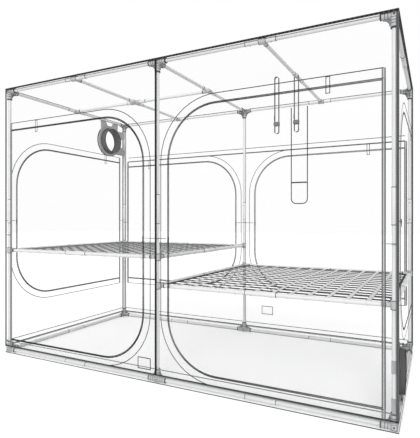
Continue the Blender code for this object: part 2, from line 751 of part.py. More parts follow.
def make_duct(level, x_sign, inside, bracket_material, collar_material):
    """A bracket clipped to a post and a side rail, and the duct collar through it and the wall."""
    y, z = duct_centre(x_sign)
    post_y = -x_sign * POST_Y
    rail_z = duct_rail_z(x_sign)
    x = x_sign * POST_X
    plate = (x - BRACKET_THICKNESS / 2, x + BRACKET_THICKNESS / 2)
    outline = [(y + p, z + q) for p, q in bracket_outline(post_y - y, rail_z - z)]
    bracket = slab(f"duct_bracket_{level}", "X", outline, *plate, bracket_material)
    clip_r = TUBE_R + FIT + CLIP_WALL
    additions = []
    cuts = [rod("X", (y, z), DUCT_R + FIT, plate[0] - OVERRUN, plate[1] + OVERRUN, DUCT_SIDES)]
    # Snap clips on the ends of the two legs on the side rail, and of the two on the post
    for sign in (-1, 1):
        reach = sorted((sign * (LEG_OUTER - LEG_WIDTH - CLIP_LIP), sign * (LEG_OUTER + CLIP_LIP)))
        for axis, centre, middle in (("Y", (x, rail_z), y), ("Z", (x, post_y), z)):
            clip = (middle + reach[0], middle + reach[1])
            additions.append(rod(axis, centre, clip_r, *clip))
            cuts.append(rod(axis, centre, TUBE_R + FIT, clip[0] - OVERRUN, clip[1] + OVERRUN))
            cuts.append(clip_mouth(x_sign, axis, clip, centre[1]))
    combine(bracket, additions, cuts)

    out_end = x_sign * (WIDTH / 2 + DUCT_OUTSIDE)
    in_end = x_sign * (WIDTH / 2 - inside)
    flange_seat = x - x_sign * (BRACKET_THICKNESS / 2 + FIT)
    flange_face = flange_seat - x_sign * DUCT_FLANGE_THICKNESS
    flange_r = DUCT_R + DUCT_FLANGE_WIDTH
    bore = DUCT_R - DUCT_WALL
    profile = [(DUCT_R, out_end), (DUCT_R, flange_seat), (flange_r, flange_seat), (flange_r, flange_face),
               (DUCT_R, flange_face), (DUCT_R, in_end), (bore, in_end), (bore, out_end)]
    turned(f"duct_collar_{level}", "X", (y, z), profile, DUCT_SIDES, collar_material)


def clip_mouth(x_sign, axis, length, middle):
    """The slot of a snap clip, open toward the room, through which the tube is pressed."""
    x_range = sorted((x_sign * POST_X, x_sign * (POST_X - SOCKET_R - OVERRUN)))
    along = (length[0] - OVERRUN, length[1] + OVERRUN)
    across = (middle - CLIP_MOUTH / 2, middle + CLIP_MOUTH / 2)
    if axis == "Y":
        return block("mouth", x_range, along, across)
    return block("mouth", x_range, across, along)


def racetrack(middle_x, top_z, bottom_z, radius):
    """Points round a loop of webbing: half round over the top and under the bottom."""
    upper = arc(middle_x, top_z - radius, radius, 0, 2 * QUARTER, ARC_STEPS)
    lower = arc(middle_x, bottom_z + radius, radius, 2 * QUARTER, 4 * QUARTER, ARC_STEPS)
    return upper + lower


def make_strap(name, x, y, top_z, material):
    """A closed loop of webbing with its stitched lap and its cam buckle."""
    inner_r = SLEEVE_R + FIT
    outer_r = inner_r + WEBBING
    foot_z = top_z - STRAP_LENGTH
    sides = (y - WEBBING_WIDTH / 2, y + WEBBING_WIDTH / 2)
    outer = racetrack(x, top_z, foot_z, outer_r)
    inner = racetrack(x, top_z - WEBBING, foot_z + WEBBING, inner_r)
    rings = []
    for outline, along in ((outer, sides[0]), (outer, sides[1]), (inner, sides[1]), (inner, sides[0])):
        rings.append([at("Y", u, v, along) for u, v in outline])
    strap = ring_solid(name, rings, material, capped=False)
    lap_z = foot_z + STITCH_FROM_FOOT
    lap = block("lap", (x - outer_r - WEBBING, x - inner_r - WEBBING / 2), (sides[0] + FIT, sides[1] - FIT),
                (lap_z, lap_z + STITCH_LENGTH))
    buckle_z = foot_z + BUCKLE_FROM_FOOT
    buckle_half = outer_r + BUCKLE_EDGE
    depth = (sides[0] - BUCKLE_EDGE, sides[1] + BUCKLE_EDGE)
    buckle = block("buckle", (x - buckle_half, x + buckle_half), depth,
                   (buckle_z - BUCKLE_HEIGHT / 2, buckle_z + BUCKLE_HEIGHT / 2))
    lever_x = x - buckle_half
    lever_outline = [(lever_x + BUCKLE_LEVER, buckle_z), (lever_x - BUCKLE_LEVER, buckle_z + BUCKLE_LEVER),
                     (lever_x - BUCKLE_LEVER, buckle_z - BUCKLE_LEVER),
                     (lever_x + BUCKLE_LEVER, buckle_z - BUCKLE_HEIGHT / 2 + BUCKLE_LEVER / 2)]
    lever = slab("lever", "Y", lever_outline, depth[0] + BUCKLE_LEVER, depth[1] - BUCKLE_LEVER)
    combine(strap, [lap, buckle, lever])
    set_origin(strap, (x, y, top_z - outer_r))


def make_straps(material):
    """One strap sewn under the roof, and one over the right cross bar, which slides along it."""
    bar_top = TOP_Z + SLEEVE_R + FIT + WEBBING
    make_strap("strap_roof", CROSS_BAR_X - STRAP_SPACING, STRAP_ROOF_Y, HEIGHT - CLOTH - FIT, material)
    make_strap("strap_bar", CROSS_BAR_X, STRAP_BAR_Y, bar_top, material)


def pocket_outline(half_width, low_z, high_z, radius):
    """An upright strip with two rounded bottom corners."""
    left = POCKET_X - half_width
    right = POCKET_X + half_width
    points = [(left, high_z)]
    points += arc(left + radius, low_z + radius, radius, 2 * QUARTER, 3 * QUARTER, ARC_STEPS)
    points += arc(right - radius, low_z + radius, radius, 3 * QUARTER, 4 * QUARTER, ARC_STEPS)
    points.append((right, high_z))
    return points


def make_pocket(material):
    """The tool strip that hangs behind the right bay, with a pocket that is open at its top."""
    back = DEPTH / 2 - CLOTH - FIT
    front = back - CLOTH
    top = TOP_Z - TUBE_R - POCKET_FROM_RAIL
    bottom = top - POCKET_STRIP_LENGTH
    half = POCKET_STRIP_WIDTH / 2
    sheet = pocket_outline(half, bottom, top, POCKET_CORNER_R)
    strip = slab("hanging_pocket", "Y", sheet, front, back, material)
    edge = CLOTH
    mouth_z = bottom + POCKET_HEIGHT
    pouch = slab("pouch", "Y", pocket_outline(half - edge, bottom + edge, mouth_z, POCKET_CORNER_R - edge),
                 front - POCKET_DEPTH, front + edge / 2)
    wall = edge + CLOTH
    cavity = slab("cavity", "Y",
                  pocket_outline(half - wall, bottom + wall, mouth_z + OVERRUN, POCKET_CORNER_R - wall),
                  front - POCKET_DEPTH + CLOTH, front - FIT)
    combine(pouch, cuts=[cavity])
    combine(strip, [pouch])


def build():
    """Make every piece of the tent."""
    for piece in list(bpy.data.objects):
        bpy.data.objects.remove(piece)
    tube_white = finish("tube white", (0.86, 0.87, 0.88), 0.35)
    moulded_grey = finish("moulded grey", (0.30, 0.31, 0.33), 0.5)
    clear_film = finish("clear film", (0.90, 0.92, 0.94), 0.25, alpha=0.35)
    edging_grey = finish("edging grey", (0.35, 0.36, 0.38), 0.6)
    zip_metal = finish("zip metal", (0.12, 0.12, 0.13), 0.4, metallic=0.6)
    net_grey = finish("net grey", (0.28, 0.29, 0.31), 0.8)
    bracket_grey = finish("bracket grey", (0.72, 0.73, 0.75), 0.5)
    collar_dark = finish("collar dark", (0.06, 0.06, 0.07), 0.55)
    webbing_grey = finish("webbing grey", (0.20, 0.21, 0.22), 0.8)

    make_tubes(tube_white)
    make_connectors(moulded_grey)
    make_cross_bars(tube_white)
    make_hanging_bar(tube_white)
    make_shelf("left", (-POST_X, 0), SHELF_LEFT_Z, tube_white, net_grey)
    make_shelf("right", (0, POST_X), SHELF_RIGHT_Z, tube_white, net_grey)
    make_cover(clear_film, edging_grey, zip_metal)
    make_duct("upper", -1, DUCT_INSIDE_UPPER, bracket_grey, collar_dark)
    make_duct("lower", 1, DUCT_INSIDE_LOWER, bracket_grey, collar_dark)
    make_straps(webbing_grey)
    make_pocket(clear_film)
    for piece in bpy.data.objects:
        piece.data.shade_smooth()
        piece.data.set_sharp_from_angle(angle=SMOOTH_ANGLE)


build()
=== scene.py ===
"""Looks of the two-bay indoor grow tent: a clear zipped cover over a frame of white tubes.

Metres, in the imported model's frame: +Z up, the doors face -Y, the length runs along X.
"""

import math
from collections import namedtuple

import bmesh
import bpy
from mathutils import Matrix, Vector, noise
from mathutils.geometry import delaunay_2d_cdt


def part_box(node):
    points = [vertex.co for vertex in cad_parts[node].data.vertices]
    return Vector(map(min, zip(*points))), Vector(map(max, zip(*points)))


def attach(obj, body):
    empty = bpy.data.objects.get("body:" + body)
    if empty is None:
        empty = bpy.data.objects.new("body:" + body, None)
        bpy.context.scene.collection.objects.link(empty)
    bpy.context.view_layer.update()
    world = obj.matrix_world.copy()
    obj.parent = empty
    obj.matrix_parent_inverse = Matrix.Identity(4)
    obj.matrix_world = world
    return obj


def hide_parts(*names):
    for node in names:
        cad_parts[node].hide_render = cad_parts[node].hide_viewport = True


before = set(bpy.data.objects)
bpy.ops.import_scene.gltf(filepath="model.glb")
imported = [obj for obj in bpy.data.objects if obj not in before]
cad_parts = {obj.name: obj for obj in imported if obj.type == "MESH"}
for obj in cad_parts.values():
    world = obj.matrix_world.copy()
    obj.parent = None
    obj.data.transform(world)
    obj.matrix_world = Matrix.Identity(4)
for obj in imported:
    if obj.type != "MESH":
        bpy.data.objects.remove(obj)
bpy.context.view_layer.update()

QUARTER = math.pi / 2
TURN = 2 * math.pi

# The photograph's camera, in its pixels
PHOTO_WIDTH = 420
PHOTO_HEIGHT = 438
FOCAL = 427.23
PRINCIPAL_X = 221.05
HORIZON_Y = 219.6
CAMERA_AT = (1.6673, -3.0969, 1.0913)
CAMERA_YAW = math.radians(26.675)
SENSOR = 36
TRANSPARENT_LAYERS = 48

# Floor and light
FLOOR_HALF = 30
FLOOR_GREY = 0.9
FLOOR_ROUGHNESS = 0.9
FLOOR_SPECULAR = 0.1
FLOOR_GLOW = 0.47
WORLD_LIGHT = 0.5
LAMP_STRENGTH = 1.55
LAMP_ANGLE = math.radians(30)
LAMP_AT = (1.2, -5.0, 2.6)

# Finishes, and how sharp and eased edges are drawn
SHARP_ANGLE = math.radians(40)
EASE_STEPS = 2
CLOUD_DETAIL = 4
ROUGHNESS_SPREAD = 0.08
LEAST_ROUGHNESS = 0.05
GRAIN_DEPTH = 0.0005
WEAVE_DEPTH = 0.0004

# Tubes, with the sleeves over their joints, the sleeves' end rings and their spring buttons
TUBE_R = 0.0125
TUBE_SIDES = 24
SLEEVE_R = 0.0145
SLEEVE_LENGTH = 0.195
POST_SLEEVE_Z = 1.1615
RING_WIDTH = 0.0035
RING_PROUD = 0.0004
RING_SINK = 0.0003
BUTTON_R = 0.004
BUTTON_RISE = 0.0015
BUTTON_FROM_END = 0.03
BUTTON_SIDES = 10
CHAMFER = 0.0012
FIT = 0.0003

# Moulded connectors: sockets, their ribs, the gussets between them, and the caps on the free faces
MOULDED_SIDES = 28
SOCKET_R = 0.0195
SOCKET_NECK_R = 0.018
SOCKET_REACH = 0.07
SOCKET_LIP = 0.008
SOCKET_STOP = 0.022
SOCKET_RIBS = (0.03, 0.045)
RIB_WIDTH = 0.003
CORE_HALF = 0.0172
WEB_REACH = 0.056
WEB_THICKNESS = 0.005
WEB_LEAST = SOCKET_NECK_R * 1.3
WEB_STEPS = 6
CAP_INSET = 0.003
CAP_FRAME = 0.003
CAP_HEIGHT = 0.0008
SCREW_R = 0.0055
SCREW_SIDES = 12

# Clamps
CLAMP_LENGTH = 0.05
CLAMP_STUB = 0.06
CLAMP_EASE = 0.0006
CROSS_REACH = 0.05

# Duct collars and their brackets; a groove has a half width, a depth at its edges and one in its middle
DUCT_R = 0.125
DUCT_WALL = 0.003
DUCT_SIDES = 72
OUTER_GROOVE = (0.002, 0.0002, 0.0012)
OUTER_GROOVES = 3
INNER_GROOVE = (0.003, 0, 0.0015)
INNER_PITCH = 0.016
COLLAR_BEAD = 0.003
COLLAR_LIP = 0.004
FLANGE_WIDTH = 0.01
FLANGE_THICKNESS = 0.003
BRACKET_THICKNESS = 0.008
BRACKET_EASE = 0.001
BRACKET_RIB = 0.003
BRACKET_RIB_RISE = 0.006
BRACKET_RIBS_OUT = (0.014, 0.033)

# Cover cloth, and its ripples: their heights, how far from a seam they fade, how close the broad waves and
# the finer folds run, and where each sheet's pattern starts
CLOTH = 0.0016
CLOTH_STEP = 0.06
MERGE_DISTANCE = 0.00001
RIPPLE = 0.0028
LEAF_RIPPLE = RIPPLE * 1.6
ROOF_RIPPLE = RIPPLE * 1.2
PAN_RIPPLE = RIPPLE / 2
RIPPLE_FADE = 0.16
BROAD_WAVES = (1.7, 1.3)
FINE_WAVES = (7, 1.6)
FINE_SHARE = 0.5
FINE_SEED = 9
WALL_SEEDS = 5.3
LEAF_SEED = 30
LEAF_SEEDS = 3.1
ROOF_SEED = 50
SHOE_SEED = 70
TRAY_SEED = 80
POCKET_SEED = 91

# Tapes, their stitches and their woven marks
BINDING = 0.0012
STITCH_PITCH = 0.014
STITCH_SIZE = (0.009, 0.0012, 0.0006)
MARK_PITCH = 0.024
MARK_LENGTH = 0.013
MARK_SHARE = 0.8
MARK_HEIGHT = 0.0004

# Seams of the walls, roof and floor
CENTRE_SEAM = 0.014
CORNER_SEAM = 0.012
# The rear left corner's tape is wider on both of its walls
WIDE_CORNER_SEAMS = {("rear", -1): 0.028, ("left", 1): 0.028}
MID_SEAM = 0.004
FOOT_SEAM = 0.008
FOOT_LINE = 0.005
ROOF_HEM = 0.014
LIP_BINDING = 0.007
# Level seams across the rear wall: height, width and kind
REAR_SEAMS = [(1.743, 0.011, "marks"), (1.787, 0.006, "plain")]
REAR_SEAM_HALF = 1.44

# Door and window leaves, with their flaps
CORNER_R = 0.35
ARC_STEPS = 14
FLAP_WIDTH = 0.055
FLAP_INNER = 0.008
FLAP_HEIGHT = 0.0012
FLAP_SWELL = 1.6
FLAP_EDGE = 0.0055

# Zips and their sliders; a slider's layers are half outlines of (half width, along), with their two heights
ZIP_SHIFT = -0.0025
ZIP_GAP = 0.0005
ZIP_START = 0.005
TAPE_WIDTH = 0.003
TOOTH_PITCH = 0.0045
TOOTH_WIDTH = 0.0042
TOOTH_SIZE = (0.0032, TOOTH_WIDTH, 0.0022)
TOOTH_SHIFT = TOOTH_WIDTH * 0.6
SLIDER_INSET = 0.0045
SLIDER_LAYERS = [
    (((0.0028, -0.012), (0.004, 0.006), (0.0024, 0.012)), 0.0019, 0.0058),
    (((0.001, -0.008), (0.001, 0.008)), 0.0058, 0.007),
    (((0.0016, 0), (0.0022, -0.012), (0.003, -0.0255), (0.002, -0.03)), 0.0043, 0.0073),
]

# Hinge seams: the whole width and the width of each dark line, by face
HINGE_SEAMS = {"front": 0.02, "rear": 0.02, "left": 0.02, "right": 0.014}
HINGE_LINES = {"front": 0.0035, "rear": 0.0075, "left": 0.0075, "right": 0.005}
FLAP_LINE_SHARE = 0.5
HINGE_END = 0.0035
HINGE_CLEAR = 0.001
HINGE_FILM = 0.0003
HINGE_HEIGHT = 0.0008
HINGE_BASE = 0.0002

# Ports in the side walls, and the cuffs that close them round the ducts
PORTS = {"left": "duct_collar_upper", "right": "duct_collar_lower"}
PORT_R = 0.1452
PORT_STEPS = 48
PORT_BINDING = 0.014
CUFF_STEPS = 144
CUFF_SHARES = (0, 0.35, 0.7, 1)
CUFF_FOLD = 0.0012
CUFF_FOLD_ARC = 0.75 * math.pi
CUFF_DRAW = 1.5
CUFF_R = 0.1275
CUFF_DEPTH = 0.009
ELASTIC_R = 0.002
ELASTIC_CORNERS = 8
ELASTIC_SIDES = 64

# Tie tabs, and the sewn patches: where each one's middle is, and its length and height
TAB_INSETS = {"front": 0.36, "rear": 0.35, "left": 0.307, "right": 0.307}
TAB_WIDTH = 0.026
TAB_LENGTH = 0.095
TAB_THICKNESS = 0.0012
TAB_EDGE = 0.005
PATCHES = {"front": (-0.093, 0.121, 0.102, 0.074), "rear": (0.229, 0.2245, 0.108, 0.073)}
PATCH_HEIGHT = 0.0009
PATCH_EDGE = 0.006

# Nets
NET_COLUMNS = 13
NET_ROWS = 15
NET_HEM = 0.022
NET_HEM_HEIGHT = 0.0044
NET_ROW = 0.026
NET_ROW_HEIGHT = 0.004
NET_COLUMN = 0.028
NET_COLUMN_HEIGHT = 0.001
NET_LINE = 0.0022
NET_CORNER = 0.05
BAR_EDGE = 0.0137
LACING_R = 0.0016
LACING_CORNERS = 5
LACING_SIDES = 12

# Hanging straps, their stitched laps and their buckles
WEBBING = 0.002
WEBBING_WIDTH = 0.025
WEBBING_EASE = 0.0008
STRAP_STEPS = 12
LAP_FROM_FOOT = 0.1
LAP_LENGTH = 0.035
LAP_INSET = 0.003
LAP_SHARE = 0.8
LAP_STITCH = (0.003, 0.0008, 0.0004)
LAP_PITCH = 0.0042
BUCKLE_FROM_FOOT = 0.074
BUCKLE_HEIGHT = 0.028
BUCKLE_EDGE = 0.0015
BUCKLE_DEPTH = 0.0016
BUCKLE_SIDE = 0.0022
BUCKLE_PLATE = 0.001
BUCKLE_EASE = 0.0005
PIN_R = 0.0022
PIN_SIDES = 12
PIN_ACROSS = 0.6
PIN_UP = 0.4
LEVER = ((0.003, 0.004), (-0.0055, 0.007), (-0.006, 0.003), (-0.0035, -0.012), (0.003, -0.008))
LEVER_INSET = 0.002

# The pocket strip, and how the pouch at its foot swells and narrows
POCKET_BINDING = 0.009
POCKET_R = 0.05
POCKET_STEPS = 8
POCKET_HEIGHT = 0.203
POCKET_RIPPLE = 0.001
POUCH_STEPS = 8
POUCH_INSET = 0.004
POUCH_DEPTH = 0.9
POUCH_RISE = 1.6
POUCH_START = 0.08
POUCH_ROUND_PART = 4
POUCH_ROUNDING = 0.6
POUCH_FLATNESS = 4
RIM_HALF = 0.001
RIM_HEIGHT = 0.011

# A plane square to an axis, at a place along it, that faces one way along it
Plane = namedtuple("Plane", "axis place out")
# A leaf of the cover: its face, body and node, the places of its four sides, and its hand
Leaf = namedtuple("Leaf", "face body node hinge free sill head hand")

GROUND = Plane("Z", 0, 1)


# Finishes

def set_inputs(node, inputs):
    """Set a shader node's inputs, each to a value or to another node's output."""
    for place, value in inputs.items():
        if isinstance(value, bpy.types.NodeSocket):
            node.id_data.links.new(value, node.inputs[place])
        else:
            node.inputs[place].default_value = value


def add_node(tree, kind, settings, inputs):
    """A new shader node with its settings and inputs."""
    node = tree.nodes.new(f"ShaderNode{kind}")
    for name, value in settings.items():
        setattr(node, name, value)
    set_inputs(node, inputs)
    return node


def shaded(name, colour, roughness, metallic=0.0, alpha=1.0, mottle=0.08, mottle_scale=18, grain=0.15,
           grain_scale=900, weave=0.0, weave_pitch=0.0015, specular=0.5):
    """A surface with uneven colour and roughness, a fine grain, and a weave if it is cloth."""
    material = bpy.data.materials.new(name)
    material.use_nodes = True
    tree = material.node_tree
    place = add_node(tree, "TexCoord", {}, {}).outputs["Object"]
    cloud = add_node(tree, "TexNoise", {}, {"Scale": mottle_scale, "Detail": CLOUD_DETAIL, "Vector": place})
    uneven = cloud.outputs["Fac"]
    dark, light = [(*[min(1, shade * share) for shade in colour], 1) for share in (1 - mottle, 1 + mottle)]
    tone = add_node(tree, "Mix", {"data_type": "RGBA"}, {"A": dark, "B": light, "Factor": uneven})
    least = max(LEAST_ROUGHNESS, roughness - ROUGHNESS_SPREAD)
    most = min(1, roughness + ROUGHNESS_SPREAD)
    rough = add_node(tree, "MapRange", {}, {"To Min": least, "To Max": most, "Value": uneven})
    fine = add_node(tree, "TexNoise", {}, {"Scale": grain_scale, "Vector": place})
    bump = add_node(tree, "Bump", {}, {"Strength": grain, "Distance": GRAIN_DEPTH,
                                       "Height": fine.outputs["Fac"]})
    if weave:
        turns = add_node(tree, "VectorMath", {"operation": "SCALE"}, {"Scale": TURN / weave_pitch, 0: place})
        waves = add_node(tree, "VectorMath", {"operation": "SINE"}, {0: turns.outputs["Vector"]})
        height = add_node(tree, "VectorMath", {"operation": "DOT_PRODUCT"},
                          {0: waves.outputs["Vector"], 1: (1, 1, 1)})
        bump = add_node(tree, "Bump", {}, {"Strength": weave, "Distance": WEAVE_DEPTH,
                                           "Height": height.outputs["Value"],
                                           "Normal": bump.outputs["Normal"]})
    set_inputs(tree.nodes["Principled BSDF"], {
        "Metallic": metallic, "Alpha": alpha, "Specular IOR Level": specular,
        "Base Color": tone.outputs["Result"], "Roughness": rough.outputs["Result"],
        "Normal": bump.outputs["Normal"]})
    return material


METAL = {"roughness": 0.4, "metallic": 0.3, "mottle": 0.1, "specular": 0.3}
MOULDED = {"roughness": 0.5, "grain": 0.35, "grain_scale": 1100}
COLLAR = {"roughness": 0.6, "grain": 0.3, "specular": 0.2}
TAPE = {"roughness": 0.85, "weave": 0.5, "weave_pitch": 0.0018, "specular": 0.1}

powder_coat = shaded("powder_coat", (0.90, 0.905, 0.91), 0.38, mottle=0.04, grain=0.25, grain_scale=1400)
steel = shaded("steel", (0.05, 0.05, 0.053), **METAL)
buckle_metal = shaded("buckle_metal", (0.20, 0.202, 0.208), **METAL)
moulded = shaded("moulded", (0.58, 0.585, 0.595), specular=0.3, **MOULDED)
moulded_web = shaded("moulded_web", (0.20, 0.203, 0.21), specular=0.3, **MOULDED)
moulded_dark = shaded("moulded_dark", (0.03, 0.031, 0.033), specular=0.2, **MOULDED)
bracket_finish = shaded("bracket_finish", (0.46, 0.465, 0.475), 0.48, mottle=0.1, grain=0.3, grain_scale=1100)
collar_finish = shaded("collar_finish", (0.13, 0.13, 0.135), **COLLAR)
collar_dark = shaded("collar_dark", (0.035, 0.035, 0.037), **COLLAR)
film = shaded("film", (0.92, 0.925, 0.93), 0.3, alpha=0.035, mottle=0.04, mottle_scale=5, grain=0.1,
              grain_scale=60, weave=0.25, weave_pitch=0.006)
floor_cloth = shaded("floor_cloth", (0.86, 0.865, 0.87), 0.5, alpha=0.12, mottle=0.06, weave=0.4,
                     weave_pitch=0.003)
cuff_cloth = shaded("cuff_cloth", (0.55, 0.555, 0.57), 0.7, alpha=0.5, mottle=0.12, weave=0.4,
                    weave_pitch=0.002)
edging = shaded("edging", (0.07, 0.071, 0.075), **TAPE)
seam_tape = shaded("seam_tape", (0.028, 0.029, 0.031), **TAPE)
corner_tape = shaded("corner_tape", (0.15, 0.152, 0.158), **TAPE)
hem_tape = shaded("hem_tape", (0.075, 0.076, 0.08), **TAPE)
hinge_tape = shaded("hinge_tape", (0.36, 0.365, 0.375), 0.8, weave=0.6, weave_pitch=0.0012, specular=0.1)
zip_tape = shaded("zip_tape", (0.13, 0.132, 0.138), 0.85, weave=0.6, weave_pitch=0.0012, specular=0.1)
zip_teeth = shaded("zip_teeth", (0.018, 0.018, 0.02), 0.5, mottle=0.15, specular=0.15)
zip_metal = shaded("zip_metal", (0.06, 0.06, 0.065), 0.35, metallic=0.5)
thread = shaded("thread", (0.018, 0.018, 0.02), 0.85, specular=0.1)
webbing = shaded("webbing", (0.26, 0.263, 0.27), 0.85, weave=0.8, weave_pitch=0.0022, specular=0.1)
net_webbing = shaded("net_webbing", (0.93, 0.935, 0.94), 0.85, mottle=0.05, mottle_scale=60, weave=0.3,
                     weave_pitch=0.0022, specular=0.1)
net_edge = shaded("net_edge", (0.028, 0.029, 0.032), 0.85, mottle=0.2, mottle_scale=90, weave=0.6,
                  weave_pitch=0.002, specular=0.1)


# Points and paths

def at(axis, centre, u, v, along):
    """A point by its two offsets from a centre, square to the axis, and its place along the axis."""
    if axis == "X":
        return Vector((along, centre[1] + u, centre[2] + v))
    if axis == "Y":
        return Vector((centre[0] + u, along, centre[2] + v))
    return Vector((centre[0] + u, centre[1] + v, along))


def put(plane, u, v, height):
    """A point by its place on a plane and its height over it."""
    return at(plane.axis, (0, 0, 0), u, v, plane.place + plane.out * height)


def pairs(outline):
    """Each corner of a closed outline with the next one."""
    return zip(outline, outline[1:] + outline[:1])


def path_sides(path, closed):
    """For each point of a flat path, the direction to its left, lengthened where the path bends."""
    lefts = []
    for (u, v), (next_u, next_v) in pairs(path) if closed else zip(path, path[1:]):
        length = math.hypot(next_u - u, next_v - v)
        lefts.append(((v - next_v) / length, (next_u - u) / length))
    sides = []
    for index in range(len(path)):
        before = lefts[index - 1] if closed or index else lefts[0]
        after = lefts[index] if index < len(lefts) else lefts[-1]
        share = 1 + before[0] * after[0] + before[1] * after[1]
        sides.append(((before[0] + after[0]) / share, (before[1] + after[1]) / share))
    return sides


def swept(plane, path, section, closed=False):
    """A row of points across each point of a flat path; the section holds their (across, height)."""
    rows = []
    for (u, v), (side_u, side_v) in zip(path, path_sides(path, closed)):
        rows.append([put(plane, u + across * side_u, v + across * side_v, height)
                     for across, height in section])
    return rows


def walk(path, pitch):
    """Evenly spaced points along a flat path, with the direction at each."""
    found = []
    carried = pitch / 2
    for (u, v), (next_u, next_v) in zip(path, path[1:]):
        length = math.hypot(next_u - u, next_v - v)
        direction = ((next_u - u) / length, (next_v - v) / length)
        while carried < length:
            found.append(((u + direction[0] * carried, v + direction[1] * carried), direction))
            carried += pitch
        carried -= length
    return found


def arc(centre_u, centre_v, radius, start, end, steps=ARC_STEPS):
    """Points along an arc, both ends included."""
    points = []
    for step in range(steps + 1):
        angle = start + (end - start) * step / steps
        points.append((centre_u + radius * math.cos(angle), centre_v + radius * math.sin(angle)))
    return points


def circle(centre_u, centre_v, radius, steps):
    """The corners of a closed circle."""
    return arc(centre_u, centre_v, radius, 0, TURN, steps)[:-1]


def rectangle(low_u, high_u, low_v, high_v):
    """The corners of a rectangle."""
    return [(low_u, low_v), (high_u, low_v), (high_u, high_v), (low_u, high_v)]


def flat_strip(width, height, base=0.0):
    """The section of a strip of tape, with eased edges."""
    half = width / 2
    eased = half - height / 2
    return [(-half, base), (half, base), (eased, base + height), (-eased, base + height)]


# Shapes

class Shape:
    """The points and faces of one piece, gathered part by part."""

    def __init__(self):
        self.points = []
        self.faces = []
        self.finishes = []

    def add(self, points, faces, finish=0):
        """Put in some points, and faces that count from the first of them."""
        first = len(self.points)
        self.points += [Vector(point) for point in points]
        self.faces += [[first + corner for corner in face] for face in faces]
        self.finishes += [finish] * len(faces)

    def grid(self, rows, closed=False):
        """A skin through equal rows of points, and on to the first row again if it closes."""
        count = len(rows[0])
        faces = []
        for step in range(len(rows) if closed else len(rows) - 1):
            for index in range(count - 1):
                corner = step * count + index
                beyond = (step + 1) % len(rows) * count + index
                faces.append((corner, corner + 1, beyond + 1, beyond))
        self.add([point for row in rows for point in row], faces)

    def rings(self, rings, closed=False, finish=0):
        """Join equal rings of points into a solid, capped at its ends unless it closes on itself."""
        count = len(rings[0])
        points = [point for ring in rings for point in ring]
        faces = []
        for step in range(len(rings) if closed else len(rings) - 1):
            first = step * count
            second = (step + 1) % len(rings) * count
            for index in range(count):
                following = (index + 1) % count
                faces.append((first + index, first + following, second + following, second + index))
        if not closed:
            faces.append(list(range(count)))
            faces.append([len(points) - 1 - index for index in range(count)])
        self.add(points, faces, finish)

    def prism(self, plane, outline, low, high, finish=0):
        """An outline on a plane, made solid between two heights over it."""
        self.rings([[put(plane, u, v, height) for u, v in outline] for height in (low, high)], finish=finish)

    def block(self, low, high):
        """A box between two corners."""
        self.prism(GROUND, rectangle(low[0], high[0], low[1], high[1]), low[2], high[2])

    def ribbon(self, plane, path, section, closed=False, finish=0):
        """A strip along a flat path, with a section of (across, height) corners."""
        self.rings(swept(plane, path, section, closed), closed, finish)

    def lathe(self, direction, centre, profile, sides, closed=False, finish=0):
        """A profile of (radius, reach) turned about the line from the centre along a signed axis."""
        axis, sign = direction
        start = centre["XYZ".index(axis)]
        rings = []
        for radius, reach in profile:
            along = start + sign * reach
            rings.append([at(axis, centre, u, v, along) for u, v in circle(0, 0, radius, sides)])
        self.rings(rings, closed, finish)

    def band(self, direction, centre, radii, middle, width, sides, finish=1):
        """A ring of rectangular section, whose middle is at some reach from the centre."""
        section = rectangle(middle - width / 2, middle + width / 2, *radii)
        self.lathe(direction, centre, [(radius, reach) for reach, radius in section], sides, True, finish)

    def hoop(self, axis, centre, radius, thick, corners, sides):
        """A round cord in a circle about the centre; the thickness is the cord's own radius."""
        self.lathe((axis, 1), centre, circle(radius, 0, thick, corners), sides, closed=True)

    def beads(self, plane, path, across, size, pitch, base, finish=1):
        """Small blocks in a row along a path, such as teeth or stitches; size is length, width, height."""
        length, width, height = size
        for (u, v), (dir_u, dir_v) in walk(path, pitch):
            middle_u = u - across * dir_v
            middle_v = v + across * dir_u
            outline = []
            for step, out in rectangle(-length / 2, length / 2, -width / 2, width / 2):
                outline.append((middle_u + step * dir_u - out * dir_v, middle_v + step * dir_v + out * dir_u))
            self.prism(plane, outline, base, base + height, finish)

    def piece(self, name, body, materials, stands_for=(), slot=None, bevel=0.0):
        """The finished object, riding on its body."""
        mesh = bpy.data.meshes.new(name)
        mesh.from_pydata(self.points, [], self.faces)
        for material in materials:
            mesh.materials.append(material)
        mesh.polygons.foreach_set("material_index", self.finishes)
        form = bmesh.new()
        form.from_mesh(mesh)
        bmesh.ops.recalc_face_normals(form, faces=form.faces)
        form.to_mesh(mesh)
        form.free()
        mesh.shade_smooth()
        mesh.set_sharp_from_angle(angle=SHARP_ANGLE)
        made = link(name, mesh)
        if bevel:
            ease_edges(made, bevel)
        if stands_for:
            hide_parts(*stands_for)
        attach(made, body)
        return made


def link(name, data):
    """A new object in the scene."""
    made = bpy.data.objects.new(name, data)
    bpy.context.scene.collection.objects.link(made)
    return made


def ease_edges(made, width):
    """Round an object's sharp edges."""
    edges = made.modifiers.new("edges", "BEVEL")
    edges.width = width
    edges.segments = EASE_STEPS
    edges.limit_method = "ANGLE"


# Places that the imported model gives

def middle_of(node):
    """The middle of a CAD node's box."""
    low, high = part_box(node)
    return (low + high) / 2


POST_X = middle_of("post_front_right").x
POST_Y = middle_of("post_rear_right").y
BASE_Z = middle_of("base_rail_front_left").z
TOP_Z = middle_of("top_rail_front_left").z
CROSS_X = middle_of("cross_bar_right").x
HALF_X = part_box("wall_front")[1].x
HALF_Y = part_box("roof")[1].y
ROOF_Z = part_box("roof")[1].z
WALL_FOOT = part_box("wall_left")[0].z
WALL_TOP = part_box("wall_left")[1].z

